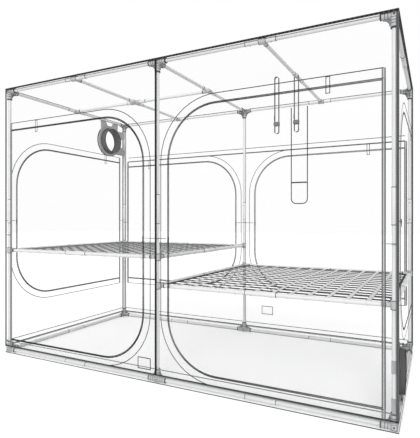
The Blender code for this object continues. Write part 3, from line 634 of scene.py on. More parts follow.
# The cover's faces, and half of each wall's length
WALLS = ("front", "rear", "left", "right")
HALVES = {"front": HALF_X, "rear": HALF_X, "left": HALF_Y, "right": HALF_Y}
FACES = {
    "front": Plane("Y", -HALF_Y, -1),
    "rear": Plane("Y", HALF_Y, 1),
    "left": Plane("X", -HALF_X, -1),
    "right": Plane("X", HALF_X, 1),
    "roof": Plane("Z", ROOF_Z, 1),
}

# A leaf's hinge is its rear end in a side wall, and elsewhere the end further from the wall's middle.
# Its hand is 1 where its outline turns left all the way, and -1 where it turns right.
LEAVES = {}
for side in ("left", "right"):
    for name, face, body, node in (
            (f"door_{side}", "front", f"{side}_door", f"door_front_{side}"),
            (f"rear_window_{side}", "rear", f"rear_{side}_window", f"window_rear_{side}"),
            (f"side_window_{side}", side, f"side_{side}_window", f"window_side_{side}")):
        low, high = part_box(node)
        free, hinge = (low.y, high.y) if face == side else sorted((low.x, high.x), key=abs)
        LEAVES[name] = Leaf(face, body, node, hinge, free, low.z, high.z, 1 if free > hinge else -1)


def d_outline(leaf, grow=0.0, start=0.0):
    """A leaf's D, from hinge to hinge: round at the far corners, and grown past the zip on three sides."""
    middle = leaf.free - leaf.hand * CORNER_R
    hinge = leaf.hinge + leaf.hand * start
    points = [(hinge, leaf.sill - grow)]
    for height, angle in ((leaf.sill + CORNER_R, -QUARTER), (leaf.head - CORNER_R, 0)):
        for u, v in arc(0, height, CORNER_R + grow, angle, angle + QUARTER):
            points.append((middle + leaf.hand * u, v))
    points.append((hinge, leaf.head + grow))
    return points


# Sheets of film

def subdivided(outline, step):
    """A closed outline with points added along its long sides."""
    points = []
    for (u, v), (next_u, next_v) in pairs(outline):
        pieces = max(1, round(math.hypot(next_u - u, next_v - v) / step))
        for piece in range(pieces):
            share = piece / pieces
            points.append((u + (next_u - u) * share, v + (next_v - v) * share))
    return points


def within(u, v, outline):
    """True if the place is inside a closed outline."""
    inside = False
    for (first_u, first_v), (second_u, second_v) in pairs(outline):
        if (first_v > v) != (second_v > v):
            if u < first_u + (v - first_v) * (second_u - first_u) / (second_v - first_v):
                inside = not inside
    return inside


def edge_distance(u, v, points):
    """How far a place is from the nearest of the points."""
    return min(math.hypot(u - other_u, v - other_v) for other_u, other_v in points)


def extent(outline):
    """The lowest and highest place of an outline, across and up."""
    across, up = zip(*outline)
    return min(across), max(across), min(up), max(up)


def sheet_shape(plane, outline, holes=(), held_lines=(), height=0.0, ripple=RIPPLE, seed=0.0):
    """One layer of film: flat where it is sewn or lies on a tube, and softly rippled between."""
    loops = [subdivided(loop, CLOTH_STEP / 2) for loop in (outline, *holes)]
    held = [place for loop in (*loops, *held_lines) for place in loop]

    def covered(u, v):
        """True if the place is on the film."""
        return within(u, v, outline) and not any(within(u, v, hole) for hole in holes)

    border = []
    edges = []
    for loop in loops:
        first = len(border)
        border += loop
        edges += [(first + index, first + (index + 1) % len(loop)) for index in range(len(loop))]
    places = list(border)
    low_u, high_u, low_v, high_v = extent(outline)
    for column in range(1, int((high_u - low_u) / CLOTH_STEP) + 1):
        for row in range(1, int((high_v - low_v) / CLOTH_STEP) + 1):
            u = low_u + column * CLOTH_STEP
            v = low_v + row * CLOTH_STEP
            if covered(u, v) and edge_distance(u, v, border) > CLOTH_STEP / 3:
                places.append((u, v))
    places = [Vector(place) for place in places]
    flat, _, triangles, _, _, _ = delaunay_2d_cdt(places, edges, [], 1, MERGE_DISTANCE)
    points = []
    for u, v in flat:
        fade = min(1, edge_distance(u, v, held) / RIPPLE_FADE)
        broad = noise.noise(Vector((u * BROAD_WAVES[0], v * BROAD_WAVES[1], seed)))
        fine = noise.noise(Vector((u * FINE_WAVES[0], v * FINE_WAVES[1], seed + FINE_SEED)))
        points.append(put(plane, u, v, height + fade * fade * ripple * (broad + FINE_SHARE * fine)))
    faces = []
    for triangle in triangles:
        middle = sum((flat[corner] for corner in triangle), Vector((0, 0))) / 3
        if covered(*middle):
            faces.append(triangle)
    shape = Shape()
    shape.add(points, faces)
    return shape


def edged(name, plane, path, width, finish, height=0.0, closed=False, kind="stitches"):
    """A strip of tape along a path: plain, with a row of stitches, or with woven marks nearly as wide."""
    shape = Shape()
    shape.ribbon(plane, path, flat_strip(width, BINDING, height), closed)
    line = path + path[:1] if closed else path
    if kind == "marks":
        mark = (MARK_LENGTH, width * MARK_SHARE, MARK_HEIGHT)
        shape.beads(plane, line, 0, mark, MARK_PITCH, height + BINDING)
    if kind == "stitches":
        shape.beads(plane, line, 0, STITCH_SIZE, STITCH_PITCH, height + BINDING)
    return shape.piece(name, "tent", [finish, thread])


# Walls

def make_walls():
    """The four walls, each one sheet with its openings, its flaps, seams, tabs and patch."""
    for number, face in enumerate(WALLS):
        plane = FACES[face]
        half = HALVES[face]
        outline = rectangle(-half, half, WALL_FOOT, WALL_TOP)
        leaves = {name: leaf for name, leaf in LEAVES.items() if leaf.face == face}
        holes = [d_outline(leaf, ZIP_SHIFT + ZIP_GAP) for leaf in leaves.values()]
        held_lines = []
        trims = []
        if face in PORTS:
            centre = middle_of(PORTS[face])
            holes.append(circle(centre.y, centre.z, PORT_R, PORT_STEPS))
            path = circle(centre.y, centre.z, PORT_R + PORT_BINDING / 2, PORT_STEPS)
            trims.append(edged(f"port_binding_{face}", plane, path, PORT_BINDING, edging, closed=True))
            make_cuff(face, centre)
        else:
            path = [(0, WALL_FOOT), (0, WALL_TOP)]
            held_lines.append(subdivided(path, CLOTH_STEP))
            trims.append(edged(f"centre_seam_{face}", plane, path, CENTRE_SEAM, seam_tape))
        for name, leaf in leaves.items():
            trims += make_flap(name, leaf)
            trims.append(make_tab(name, leaf))
        trims += make_edges(face)
        trims += make_mid_seams(face, list(leaves.values()))
        if face == "rear":
            for z, width, kind in REAR_SEAMS:
                path = [(-REAR_SEAM_HALF, z), (REAR_SEAM_HALF, z)]
                name = f"rear_seam_{round(1000 * z)}"
                trims.append(edged(name, plane, path, width, hem_tape, 2 * BINDING, kind=kind))
        if face in PATCHES:
            trims.append(make_patch(face, *PATCHES[face]))
        shape = sheet_shape(plane, outline, holes, held_lines, seed=number * WALL_SEEDS)
        wall = shape.piece(f"cover_{face}", "tent", [film], [f"wall_{face}"], "film")


def make_cuff(face, centre):
    """The gathered cuff from a wall's port in to the duct, with its elastic round the duct."""
    plane = FACES[face]
    rows = []
    for step in range(CUFF_STEPS):
        angle = TURN * step / CUFF_STEPS
        fold = CUFF_FOLD * (1 if step % 2 else -1)
        row = []
        for share in CUFF_SHARES:
            radius = PORT_R + (CUFF_R - PORT_R) * share
            height = fold * math.sin(share * CUFF_FOLD_ARC) - CUFF_DEPTH * share ** CUFF_DRAW
            row.append(put(plane, centre.y + radius * math.cos(angle), centre.z + radius * math.sin(angle),
                           height))
        rows.append(row)
    shape = Shape()
    shape.grid(rows, closed=True)
    cuff = shape.piece(f"port_cuff_{face}", "tent", [cuff_cloth], slot="film")
    elastic = Shape()
    middle = put(plane, centre.y, centre.z, -CUFF_DEPTH)
    elastic.hoop("X", middle, CUFF_R, ELASTIC_R, ELASTIC_CORNERS, ELASTIC_SIDES)
    elastic_piece = elastic.piece(f"port_elastic_{face}", "tent", [edging])


def make_flap(name, leaf):
    """The strip of film sewn round an opening over its zip, and the wall's half of the zip and the hinge."""
    plane = FACES[leaf.face]
    path = d_outline(leaf, (FLAP_WIDTH + FLAP_INNER) / 2)
    half = (FLAP_WIDTH - FLAP_INNER) / 2
    shape = Shape()
    shape.grid(swept(plane, path, [(-half, FLAP_HEIGHT), (0, FLAP_HEIGHT * FLAP_SWELL), (half, FLAP_HEIGHT)]))
    flap = shape.piece(f"flap_{name}", "tent", [film], slot="film")
    outer = edged(f"flap_edge_{name}", plane, d_outline(leaf, FLAP_WIDTH), FLAP_EDGE, edging, FLAP_HEIGHT,
                  kind="plain")
    chain = Shape()
    add_zip(chain, leaf, -1)
    wall_zip = chain.piece(f"wall_zip_{name}", "tent", [zip_tape, zip_teeth])
    seam = Shape()
    add_hinge_tape(seam, leaf, -1, leaf.sill, leaf.head, 0)
    for low, high in ((leaf.sill - FLAP_WIDTH, leaf.sill), (leaf.head, leaf.head + FLAP_WIDTH)):
        for side in (-1, 1):
            add_hinge_tape(seam, leaf, side, low, high, 0, FLAP_LINE_SHARE)
    return [outer, wall_zip, seam.piece(f"hinge_seam_{name}", "tent", [hinge_tape, seam_tape])]


def add_zip(shape, leaf, side, start=0.0):
    """Half of a zip, tape and teeth: the leaf's half for side 1, and the wall's for side -1."""
    plane = FACES[leaf.face]
    tape = d_outline(leaf, ZIP_SHIFT - side * (TAPE_WIDTH / 2 + TOOTH_WIDTH), start)
    shape.ribbon(plane, tape, flat_strip(TAPE_WIDTH, BINDING))
    across = side * leaf.hand * TOOTH_SHIFT
    shape.beads(plane, d_outline(leaf, ZIP_SHIFT, start), across, TOOTH_SIZE, TOOTH_PITCH, 0)


def add_hinge_tape(shape, leaf, side, low, high, finish, line_share=1):
    """Half of a hinge's seam: grey tape from the fold out, and the dark sewn line along its edge.

    The side is 1 for the leaf's half and -1 for the wall's. Both start clear of the fold, so that they don't
    meet. The line's finish comes next after the tape's.
    """
    width = HINGE_SEAMS[leaf.face] / 2
    line = HINGE_LINES[leaf.face] * line_share
    for near, height, place in ((HINGE_CLEAR, HINGE_FILM, finish), (width - line, HINGE_HEIGHT, finish + 1)):
        u = leaf.hinge + side * leaf.hand * (near + width) / 2
        section = flat_strip(width - near, height, HINGE_BASE)
        shape.ribbon(FACES[leaf.face], [(u, low), (u, high)], section, finish=place)


def make_leaves():
    """The doors and windows: film with half a zip round three sides, and half of the seam at the hinge."""
    for number, (name, leaf) in enumerate(LEAVES.items()):
        outline = d_outline(leaf, ZIP_SHIFT - ZIP_GAP, ZIP_GAP)
        seed = LEAF_SEED + number * LEAF_SEEDS
        shape = sheet_shape(FACES[leaf.face], outline, ripple=LEAF_RIPPLE, seed=seed)
        sheet = shape.piece(f"film_{name}", leaf.body, [film], [leaf.node], "film")
        chain = Shape()
        add_zip(chain, leaf, 1, ZIP_START)
        add_hinge_tape(chain, leaf, 1, leaf.sill + HINGE_END, leaf.head - HINGE_END, 3)
        if leaf.face != "front":
            add_slider(chain, leaf, 2)
        zipped = chain.piece(f"leaf_zip_{name}", leaf.body,
                             [zip_tape, zip_teeth, zip_metal, hinge_tape, seam_tape])
    for side in ("left", "right"):
        slider = Shape()
        add_slider(slider, LEAVES[f"door_{side}"], 0)
        slider.piece(f"slider_{side}", f"{side}_slider", [zip_metal], [f"zip_slider_{side}"], "zip_metal")


def add_slider(shape, leaf, finish):
    """A zip slider astride the teeth at the middle of the free side, with its bridge and its pull."""
    u = leaf.free - leaf.hand * SLIDER_INSET
    z = (leaf.sill + leaf.head) / 2
    for half_outline, low, high in SLIDER_LAYERS:
        outline = [(u - half, z + along) for half, along in half_outline]
        outline += [(u + half, z + along) for half, along in reversed(half_outline)]
        shape.prism(FACES[leaf.face], outline, low, high, finish)


def make_tab(name, leaf):
    """A tie tab inside the wall, sewn on above the opening and hanging behind the leaf."""
    plane = FACES[leaf.face]
    u = math.copysign(HALVES[leaf.face] - TAB_INSETS[leaf.face], leaf.hinge)
    top = leaf.head + FLAP_WIDTH
    foot = top - TAB_LENGTH
    back = -(CLOTH + FIT + TAB_THICKNESS)
    shape = Shape()
    shape.ribbon(plane, [(u, top), (u, foot)], flat_strip(TAB_WIDTH, TAB_THICKNESS, back))
    edge = flat_strip(TAB_EDGE, TAB_THICKNESS, back - FIT)
    for sign in (-1, 1):
        side = u + sign * (TAB_WIDTH - TAB_EDGE) / 2
        shape.ribbon(plane, [(side, top), (side, foot)], edge, finish=1)
    for z in (top - TAB_EDGE / 2, foot + TAB_EDGE / 2):
        shape.ribbon(plane, [(u - TAB_WIDTH / 2, z), (u + TAB_WIDTH / 2, z)], edge, finish=1)
    return shape.piece(f"tab_{name}", "tent", [film, edging])


def make_patch(face, u, v, length, height):
    """A bare sewn patch with a border of dark tape."""
    outline = rectangle(u - length / 2, u + length / 2, v - height / 2, v + height / 2)
    border = flat_strip(PATCH_EDGE, BINDING / 2, PATCH_HEIGHT)
    shape = Shape()
    shape.prism(FACES[face], outline, 0, PATCH_HEIGHT)
    shape.ribbon(FACES[face], outline, border, closed=True, finish=1)
    return shape.piece(f"patch_{face}", "tent", [film, seam_tape])


def make_edges(face):
    """The seams up a wall's corners and along its foot and top, and the line where the shoe turns under."""
    plane = FACES[face]
    half = HALVES[face]
    made = []
    for side, sign in (("low", -1), ("high", 1)):
        width = WIDE_CORNER_SEAMS.get((face, sign), CORNER_SEAM)
        u = sign * (half - width / 2)
        made.append(edged(f"corner_seam_{face}_{side}", plane, [(u, WALL_FOOT), (u, WALL_TOP - ROOF_HEM)],
                          width, corner_tape))
    for name, low, width, finish, height, kind in (
            ("foot_seam", WALL_FOOT, FOOT_SEAM, hem_tape, 0, "marks"),
            ("foot_line", 0, FOOT_LINE, seam_tape, -BINDING / 2, "plain"),
            ("roof_hem", ROOF_Z - ROOF_HEM, ROOF_HEM, hem_tape, 0, "marks")):
        path = [(-half, low + width / 2), (half, low + width / 2)]
        made.append(edged(f"{name}_{face}", plane, path, width, finish, height, kind=kind))
    return made


def make_mid_seams(face, leaves):
    """The short level seams that join the zips' middles to each other and to the wall's edges."""
    z = (leaves[0].sill + leaves[0].head) / 2
    spare = [WIDE_CORNER_SEAMS.get((face, sign), CORNER_SEAM) - CORNER_SEAM for sign in (-1, 1)]
    ends = sorted(u for leaf in leaves for u in (leaf.hinge, leaf.free))
    stops = [spare[0] - HALVES[face], *ends, HALVES[face] - spare[1]]
    made = []
    for index in range(0, len(stops), 2):
        path = [(stops[index] + CORNER_SEAM, z), (stops[index + 1] - CORNER_SEAM, z)]
        made.append(edged(f"mid_seam_{face}_{index}", FACES[face], path, MID_SEAM, edging, kind="plain"))
    return made


# Roof and floor

def make_roof_and_floor():
    """The roof, the shoe that turns up round the base rails, and the loose tray."""
    plane = FACES["roof"]
    outline = rectangle(-HALF_X, HALF_X, -HALF_Y, HALF_Y)
    tubes = [[(x, -HALF_Y), (x, HALF_Y)] for x in (0, CROSS_X, -CROSS_X)]
    held = [subdivided(line, CLOTH_STEP) for line in (*tubes, [(-HALF_X, 0), (0, 0)])]
    inset = ROOF_HEM / 2
    hem = rectangle(inset - HALF_X, HALF_X - inset, inset - HALF_Y, HALF_Y - inset)
    trim = edged("roof_hem", plane, hem, ROOF_HEM, hem_tape, -BINDING, closed=True, kind="marks")
    shape = sheet_shape(plane, outline, held_lines=held, height=-BINDING, ripple=ROOF_RIPPLE, seed=ROOF_SEED)
    roof = shape.piece("cover_roof", "tent", [film], ["roof"], "film")
    make_pan("shoe", "floor_shoe", "shoe", floor_cloth, SHOE_SEED)
    make_pan("tray", "floor_tray", "film", film, TRAY_SEED)


def make_pan(name, node, slot, finish, seed):
    """A floor cloth with its upright lip, and the binding round the lip's top."""
    low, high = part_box(node)
    outline = rectangle(low.x, high.x, low.y, high.y)
    shape = sheet_shape(Plane("Z", low.z, 1), outline, height=BINDING, ripple=PAN_RIPPLE, seed=seed)
    for face in WALLS:
        axis, _, out = FACES[face]
        reach, half = (high.x, high.y) if axis == "X" else (high.y, high.x)
        plane = Plane(axis, reach * out, out)
        wall = sheet_shape(plane, rectangle(-half, half, low.z, high.z), height=-CLOTH / 2, ripple=0)
        shape.add(wall.points, wall.faces)
        z = high.z - LIP_BINDING / 2
        edged(f"{name}_binding_{face}", plane, [(-half, z), (half, z)], LIP_BINDING, hinge_tape,
                           -BINDING)
    pan = shape.piece(f"{name}_cloth", "tent", [finish], [node], slot)


# Tubes and moulded joints

def add_tube(shape, axis, middle, start, end):
    """A round tube between two places, with a sleeve about a middle, its end rings and its spring buttons."""
    index = "XYZ".index(axis)
    half = SLEEVE_LENGTH / 2
    eased = SLEEVE_R - CHAMFER / 2
    profile = [(TUBE_R, start - middle[index]), (TUBE_R, -half), (eased, -half), (SLEEVE_R, CHAMFER - half),
               (SLEEVE_R, -CHAMFER / 2), (eased, 0), (SLEEVE_R, CHAMFER / 2), (SLEEVE_R, half - CHAMFER),
               (eased, half), (TUBE_R, half), (TUBE_R, end - middle[index])]
    shape.lathe((axis, 1), middle, profile, TUBE_SIDES)
    button = [(BUTTON_R, SLEEVE_R - BUTTON_R / 2), (BUTTON_R, SLEEVE_R + BUTTON_RISE / 2),
              (BUTTON_R / 2, SLEEVE_R + BUTTON_RISE)]
    for sign in (-1, 1):
        shape.band((axis, sign), middle, (TUBE_R - RING_SINK, SLEEVE_R + RING_PROUD), half, RING_WIDTH,
                   TUBE_SIDES)
        spot = middle.copy()
        spot[index] += sign * (half - BUTTON_FROM_END)
        facing = ("Y", -math.copysign(1, spot.y)) if axis == "Z" else ("Z", -1)
        shape.lathe(facing, spot, button, BUTTON_SIDES, finish=1)


def make_tubes():
    """The posts, the rails and the centre rail."""
    for node in sorted(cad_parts):
        if not node.startswith(("post_", "base_rail_", "top_rail_")):
            continue
        low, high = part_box(node)
        size = high - low
        index = max(range(3), key=lambda place: size[place])
        middle = (low + high) / 2
        if index == 2:
            middle.z = POST_SLEEVE_Z
        shape = Shape()
        add_tube(shape, "XYZ"[index], middle, low[index], high[index])
        shape.piece(f"tube_{node}", "tent", [powder_coat, steel], [node], "tube")


def add_socket(shape, direction, centre):
    """A round socket out from a joint's middle, with two ribs and a thicker lip at its mouth."""
    bore = TUBE_R + FIT
    outer = SOCKET_R - FIT
    neck = SOCKET_REACH - SOCKET_LIP
    body = [(SOCKET_NECK_R, CORE_HALF / 2), (SOCKET_NECK_R, neck), (bore, neck), (bore, SOCKET_STOP)]
    shape.lathe(direction, centre, body, MOULDED_SIDES)
    lip = [(bore, neck + FIT), (outer - CHAMFER, neck + FIT), (outer, neck + CHAMFER),
           (outer, SOCKET_REACH - CHAMFER), (SOCKET_R - CHAMFER, SOCKET_REACH), (bore, SOCKET_REACH)]
    shape.lathe(direction, centre, lip, MOULDED_SIDES, True, 1)
    for rib in SOCKET_RIBS:
        radii = (SOCKET_NECK_R - RING_SINK, SOCKET_NECK_R + RING_PROUD)
        shape.band(direction, centre, radii, rib, RIB_WIDTH, MOULDED_SIDES)


def add_web(shape, centre, first, second):
    """The gusset between two sockets, hollowed along its free edge."""
    signs = dict((first, second))
    middle = dict(zip("XYZ", centre))
    u_axis, v_axis = sorted(signs)
    normal = (set("XYZ") - set(signs)).pop()
    hollow = WEB_REACH - WEB_LEAST
    curve = arc(WEB_REACH, WEB_REACH, hollow, 2 * QUARTER, 3 * QUARTER, WEB_STEPS)
    outline = [(0, 0), (0, WEB_REACH)] + curve + [(WEB_REACH, 0)]
    placed = [(middle[u_axis] + signs[u_axis] * u, middle[v_axis] + signs[v_axis] * v) for u, v in outline]
    shape.prism(Plane(normal, middle[normal], 1), placed, -WEB_THICKNESS / 2, WEB_THICKNESS / 2, 2)


def add_cap(shape, centre, axis, sign):
    """The raised frame and the screw on a joint's free face."""
    index = "XYZ".index(axis)
    u, v = [centre[place] for place in range(3) if place != index]
    half = CORE_HALF - CAP_INSET
    plane = Plane(axis, centre[index] + sign * CORE_HALF, sign)
    frame_path = rectangle(u - half, u + half, v - half, v + half)
    shape.ribbon(plane, frame_path, flat_strip(CAP_FRAME, CAP_HEIGHT), True, 1)
    shape.prism(plane, circle(u, v, SCREW_R, SCREW_SIDES), -CAP_HEIGHT / 2, CAP_HEIGHT, 1)


def make_connectors():
    """The moulded joints at the frame's corners and at the middle posts."""
    for level, z, up in (("base", BASE_Z, 1), ("top", TOP_Z, -1)):
        for row, y_sign in (("front", -1), ("rear", 1)):
            inward = ("Y", -y_sign)
            for column, x_sign in (("left", -1), ("middle", 0), ("right", 1)):
                if x_sign:
                    node = f"corner_{level}_{row}_{column}"
                    directions = [("X", -x_sign), inward, ("Z", up)]
                else:
                    node = f"joint_{level}_{row}"
                    directions = [("X", 1), ("X", -1), ("Z", up)] + [inward] * (level == "top")
                make_connector(node, Vector((x_sign * POST_X, y_sign * POST_Y, z)), directions)


def make_connector(node, centre, directions):
    """One moulded joint: a core block with caps on its free faces, its sockets, and gussets between them."""
    shape = Shape()
    half = Vector((CORE_HALF, CORE_HALF, CORE_HALF))
    shape.block(centre - half, centre + half)
    for index, first in enumerate(directions):
        add_socket(shape, first, centre)
        for second in directions[index + 1:]:
            if first[0] != second[0]:
                add_web(shape, centre, first, second)
    for axis in "XYZ":
        for sign in (-1, 1):
            if (axis, sign) not in directions:
                add_cap(shape, centre, axis, sign)
    shape.piece(f"moulded_{node}", "tent", [moulded, moulded_dark, moulded_web], [node], "connector")


def barrel(inner, end, outer, reach):
    """The profile of a barrel about the centre, with chamfered ends."""
    return [(inner, -reach), (end, -reach), (outer, CHAMFER - reach), (outer, reach - CHAMFER), (end, reach),
            (inner, reach)]


def add_clamp(shape, ring_axis, centre, stubs):
    """A clamp round a tube, with a stub over each bar that ends in it."""
    half = CLAMP_LENGTH / 2
    inner = FIT + (TUBE_R if ring_axis == "Z" else SLEEVE_R)
    outer = SOCKET_R - FIT
    shape.lathe((ring_axis, 1), centre, barrel(inner, outer - CHAMFER, outer, half), MOULDED_SIDES, True)
    for sign in (-1, 1):
        shape.band((ring_axis, sign), centre, (outer - RING_SINK, outer + RING_SINK), half - RIB_WIDTH,
                   RIB_WIDTH, MOULDED_SIDES)
    neck = SLEEVE_R - CHAMFER / 2
    step = CLAMP_STUB - SOCKET_LIP
    lip = [(TUBE_R + FIT, step + FIT), (SLEEVE_R, step + FIT), (SLEEVE_R, CLAMP_STUB - CHAMFER),
           (neck, CLAMP_STUB), (TUBE_R + FIT, CLAMP_STUB)]
    for stub in stubs:
        shape.lathe(stub, centre, [(neck, SOCKET_NECK_R), (neck, step), (TUBE_R, step)], MOULDED_SIDES)
        shape.lathe(stub, centre, lip, MOULDED_SIDES, True, 1)


def add_bars(body, tube_name, node, bars, clamps_name, clamps, barrels=()):
    """Some bars as one piece, and their clamps, with barrels where bars cross, as another."""
    tubes = Shape()
    for axis, middle, start, end in bars:
        add_tube(tubes, axis, Vector(middle), start, end)
    tubes.piece(tube_name, body, [powder_coat, steel], [node], "tube")
    grips = Shape()
    for axis, centre, stubs in clamps:
        add_clamp(grips, axis, Vector(centre), stubs)
    for axis, centre in barrels:
        profile = barrel(SLEEVE_R, SOCKET_R - CHAMFER, SOCKET_R - FIT, CROSS_REACH)
        grips.lathe((axis, 1), Vector(centre), profile, MOULDED_SIDES, True)
    grips.piece(clamps_name, body, [moulded, moulded_dark], slot="connector", bevel=CLAMP_EASE)


def make_bars():
    """The bars under the roof, one across each bay and one along the left bay, and the two shelves."""
    deep = (SOCKET_R - POST_Y, POST_Y - SOCKET_R)
    for side, x in (("left", -CROSS_X), ("right", CROSS_X)):
        clamps = [("X", (x, sign * POST_Y, TOP_Z), [("Y", -sign)]) for sign in (-1, 1)]
        add_bars("tent", f"tube_cross_bar_{side}", f"cross_bar_{side}", [("Y", (x, 0, TOP_Z), *deep)],
                 f"clamps_cross_bar_{side}", clamps)
    crossing = (-CROSS_X, 0, TOP_Z)
    add_bars("tent", "tube_hanging_bar_left", "hanging_bar_left",
             [("X", (-POST_X / 2, 0, TOP_Z), SOCKET_R - POST_X, -SOCKET_R)], "clamps_hanging_bar_left",
             [("Y", (x, 0, TOP_Z), [("X", sign)]) for x, sign in ((-POST_X, 1), (0, -1))],
             [("X", crossing), ("Y", crossing)])
    for side, low_x, high_x in (("left", -POST_X, 0), ("right", 0, POST_X)):
        z = middle_of(f"shelf_net_{side}").z
        ends = (low_x + SOCKET_R, high_x - SOCKET_R)
        bars = [("X", ((low_x + high_x) / 2, y, z), *ends) for y in (-POST_Y, POST_Y)]
        bars += [("Y", (x, 0, z), *deep) for x in (low_x, high_x)]
        clamps = []
        for x, x_sign in ((low_x, 1), (high_x, -1)):
            for sign in (-1, 1):
                clamps.append(("Z", (x, sign * POST_Y, z), [("X", x_sign), ("Y", -sign)]))
        add_bars(f"{side}_shelf", f"shelf_bars_{side}", f"shelf_frame_{side}", bars,
                 f"shelf_clamps_{side}", clamps)
        make_net(side, low_x, high_x, z)


# Nets

def make_net(side, low_x, high_x, z):
    """The net deck: a hem, dark straps along the bay, light ones over them, and lacing round the bars."""
    body = f"{side}_shelf"
    level = Plane("Z", z, 1)
    inset = BAR_EDGE + NET_HEM / 2
    left, right = low_x + inset, high_x - inset
    front, rear = inset - POST_Y, POST_Y - inset
    path = [(left + NET_CORNER, front), (right - NET_CORNER, front), (right, front + NET_CORNER),
            (right, rear - NET_CORNER), (right - NET_CORNER, rear), (left + NET_CORNER, rear),
            (left, rear - NET_CORNER), (left, front + NET_CORNER)]
    hem = Shape()
    hem.ribbon(level, path, flat_strip(NET_HEM, NET_HEM_HEIGHT, -NET_HEM_HEIGHT / 2), closed=True)
    hem_piece = hem.piece(f"net_hem_{side}", body, [net_edge], [f"shelf_net_{side}"], "net")
    net = Shape()
    across = [left + (right - left) * step / NET_COLUMNS for step in range(1, NET_COLUMNS)]
    deep = [front + (rear - front) * step / NET_ROWS for step in range(1, NET_ROWS)]
    row = flat_strip(NET_ROW, NET_ROW_HEIGHT, -NET_ROW_HEIGHT / 2)
    for y in deep:
        net.ribbon(level, [(left, y), (right, y)], row, finish=1)
    for x in across:
        add_column(net, level, [(x, front - NET_HEM / 2), (x, rear + NET_HEM / 2)])
    lacings = [("X", x, y) for x in across for y in (-POST_Y, POST_Y)]
    lacings += [("Y", x, y) for y in deep for x in (low_x, high_x)]
    for axis, x, y in lacings:
        net.hoop(axis, Vector((x, y, z)), SLEEVE_R + LACING_R, LACING_R, LACING_CORNERS, LACING_SIDES)
    net_piece = net.piece(f"net_{side}", body, [net_webbing, net_edge], slot="net")


def add_column(shape, level, path):
    """A light strap over the hem and the dark straps, with a dark line of stitches down each edge."""
    base = NET_HEM_HEIGHT / 2 + FIT
    shape.ribbon(level, path, flat_strip(NET_COLUMN, NET_COLUMN_HEIGHT, base))
    line = flat_strip(NET_LINE, NET_COLUMN_HEIGHT + FIT, base)
    for side in (-1, 1):
        shift = side * (NET_COLUMN - NET_LINE) / 2
        shape.ribbon(level, path, [(shift + across, height) for across, height in line], finish=1)


# Ducts

def groove(middle, half, edge_depth, depth):
    """The profile of a groove round a collar."""
    edge = DUCT_R - edge_depth
    return [(edge, middle + half), (DUCT_R - depth, middle), (edge, middle - half)]


def collar_profile(outside, inside):
    """A duct collar's section from its outer end in, as radius and distance from the tent's middle."""
    seat = POST_X - BRACKET_THICKNESS / 2 - FIT
    lip = seat - FLANGE_THICKNESS
    profile = [(DUCT_R, outside)]
    for step in range(1, OUTER_GROOVES + 1):
        profile += groove(outside + (seat - outside) * step / (OUTER_GROOVES + 1), *OUTER_GROOVE)
    profile += [(DUCT_R, seat), (DUCT_R + FLANGE_WIDTH, seat), (DUCT_R + FLANGE_WIDTH, lip), (DUCT_R, lip)]
    parts = max(1, round((lip - inside) / INNER_PITCH))
    for step in range(1, parts):
        profile += groove(lip + (inside - lip) * step / parts, *INNER_GROOVE)
    return profile + [(DUCT_R, inside), (DUCT_R - DUCT_WALL, inside), (DUCT_R - DUCT_WALL, outside)]


def make_ducts():
    """Each duct: a moulded bracket with stiffening ribs, and a grooved collar with a bead at each end."""
    for level, sign in (("upper", -1), ("lower", 1)):
        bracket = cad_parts[f"duct_bracket_{level}"]
        bracket.data.materials.clear()
        bracket.data.materials.append(bracket_finish)
        ease_edges(bracket, BRACKET_EASE)
        collar = f"duct_collar_{level}"
        low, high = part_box(collar)
        inside, outside = sorted((abs(low.x), abs(high.x)))
        outward = ("X", sign)
        centre = (low + high) / 2
        centre.x = 0
        ribs = Shape()
        for out in BRACKET_RIBS_OUT:
            radii = (DUCT_R + out - BRACKET_RIB / 2, DUCT_R + out + BRACKET_RIB / 2)
            ribs.band(outward, centre, radii, POST_X - BRACKET_THICKNESS / 2, BRACKET_RIB_RISE, DUCT_SIDES, 0)
        ribs.piece(f"bracket_ribs_{level}", "tent", [bracket_finish], slot="bracket")
        ring = Shape()
        ring.lathe(outward, centre, collar_profile(outside, inside), DUCT_SIDES, True)
        radii = (DUCT_R - DUCT_WALL - COLLAR_BEAD, DUCT_R - FIT)
        for middle in (inside + COLLAR_LIP / 2, outside - COLLAR_LIP / 2):
            ring.band(outward, centre, radii, middle, COLLAR_LIP, DUCT_SIDES)
        ring.piece(f"collar_{level}", "tent", [collar_finish, collar_dark], [collar], "collar")


# Straps and pocket

def make_straps():
    """Two loops of webbing, each with its stitched lap and its cam buckle."""
    for node, body in (("strap_roof", "tent"), ("strap_bar", "bar_strap")):
        low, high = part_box(node)
        y = (low.y + high.y) / 2
        radius = SLEEVE_R + FIT + WEBBING / 2
        # The loop's middle comes from its far side, because the buckle's lever sticks out on the near side
        x = high.x - (radius + WEBBING / 2 + BUCKLE_EDGE)
        path = arc(x, high.z - WEBBING / 2 - radius, radius, 0, math.pi, STRAP_STEPS)
        path += arc(x, low.z + WEBBING / 2 + radius, radius, math.pi, TURN, STRAP_STEPS)
        half = WEBBING_WIDTH / 2
        eased = half - WEBBING_EASE
        section = [(-WEBBING / 2, -eased), (0, -half), (WEBBING / 2, -eased), (WEBBING / 2, eased), (0, half),
                   (-WEBBING / 2, eased)]
        loop = Shape()
        loop.ribbon(Plane("Y", y, 1), path, section, closed=True)
        add_lap(loop, x - radius - WEBBING, y, low.z + LAP_FROM_FOOT)
        loop.piece(f"webbing_{node}", body, [webbing, thread], [node], "webbing")
        buckle = Shape()
        add_buckle(buckle, x, y, low.z + BUCKLE_FROM_FOOT, radius + WEBBING / 2 + BUCKLE_DEPTH)
        buckle.piece(f"buckle_{node}", body, [buckle_metal], bevel=BUCKLE_EASE)


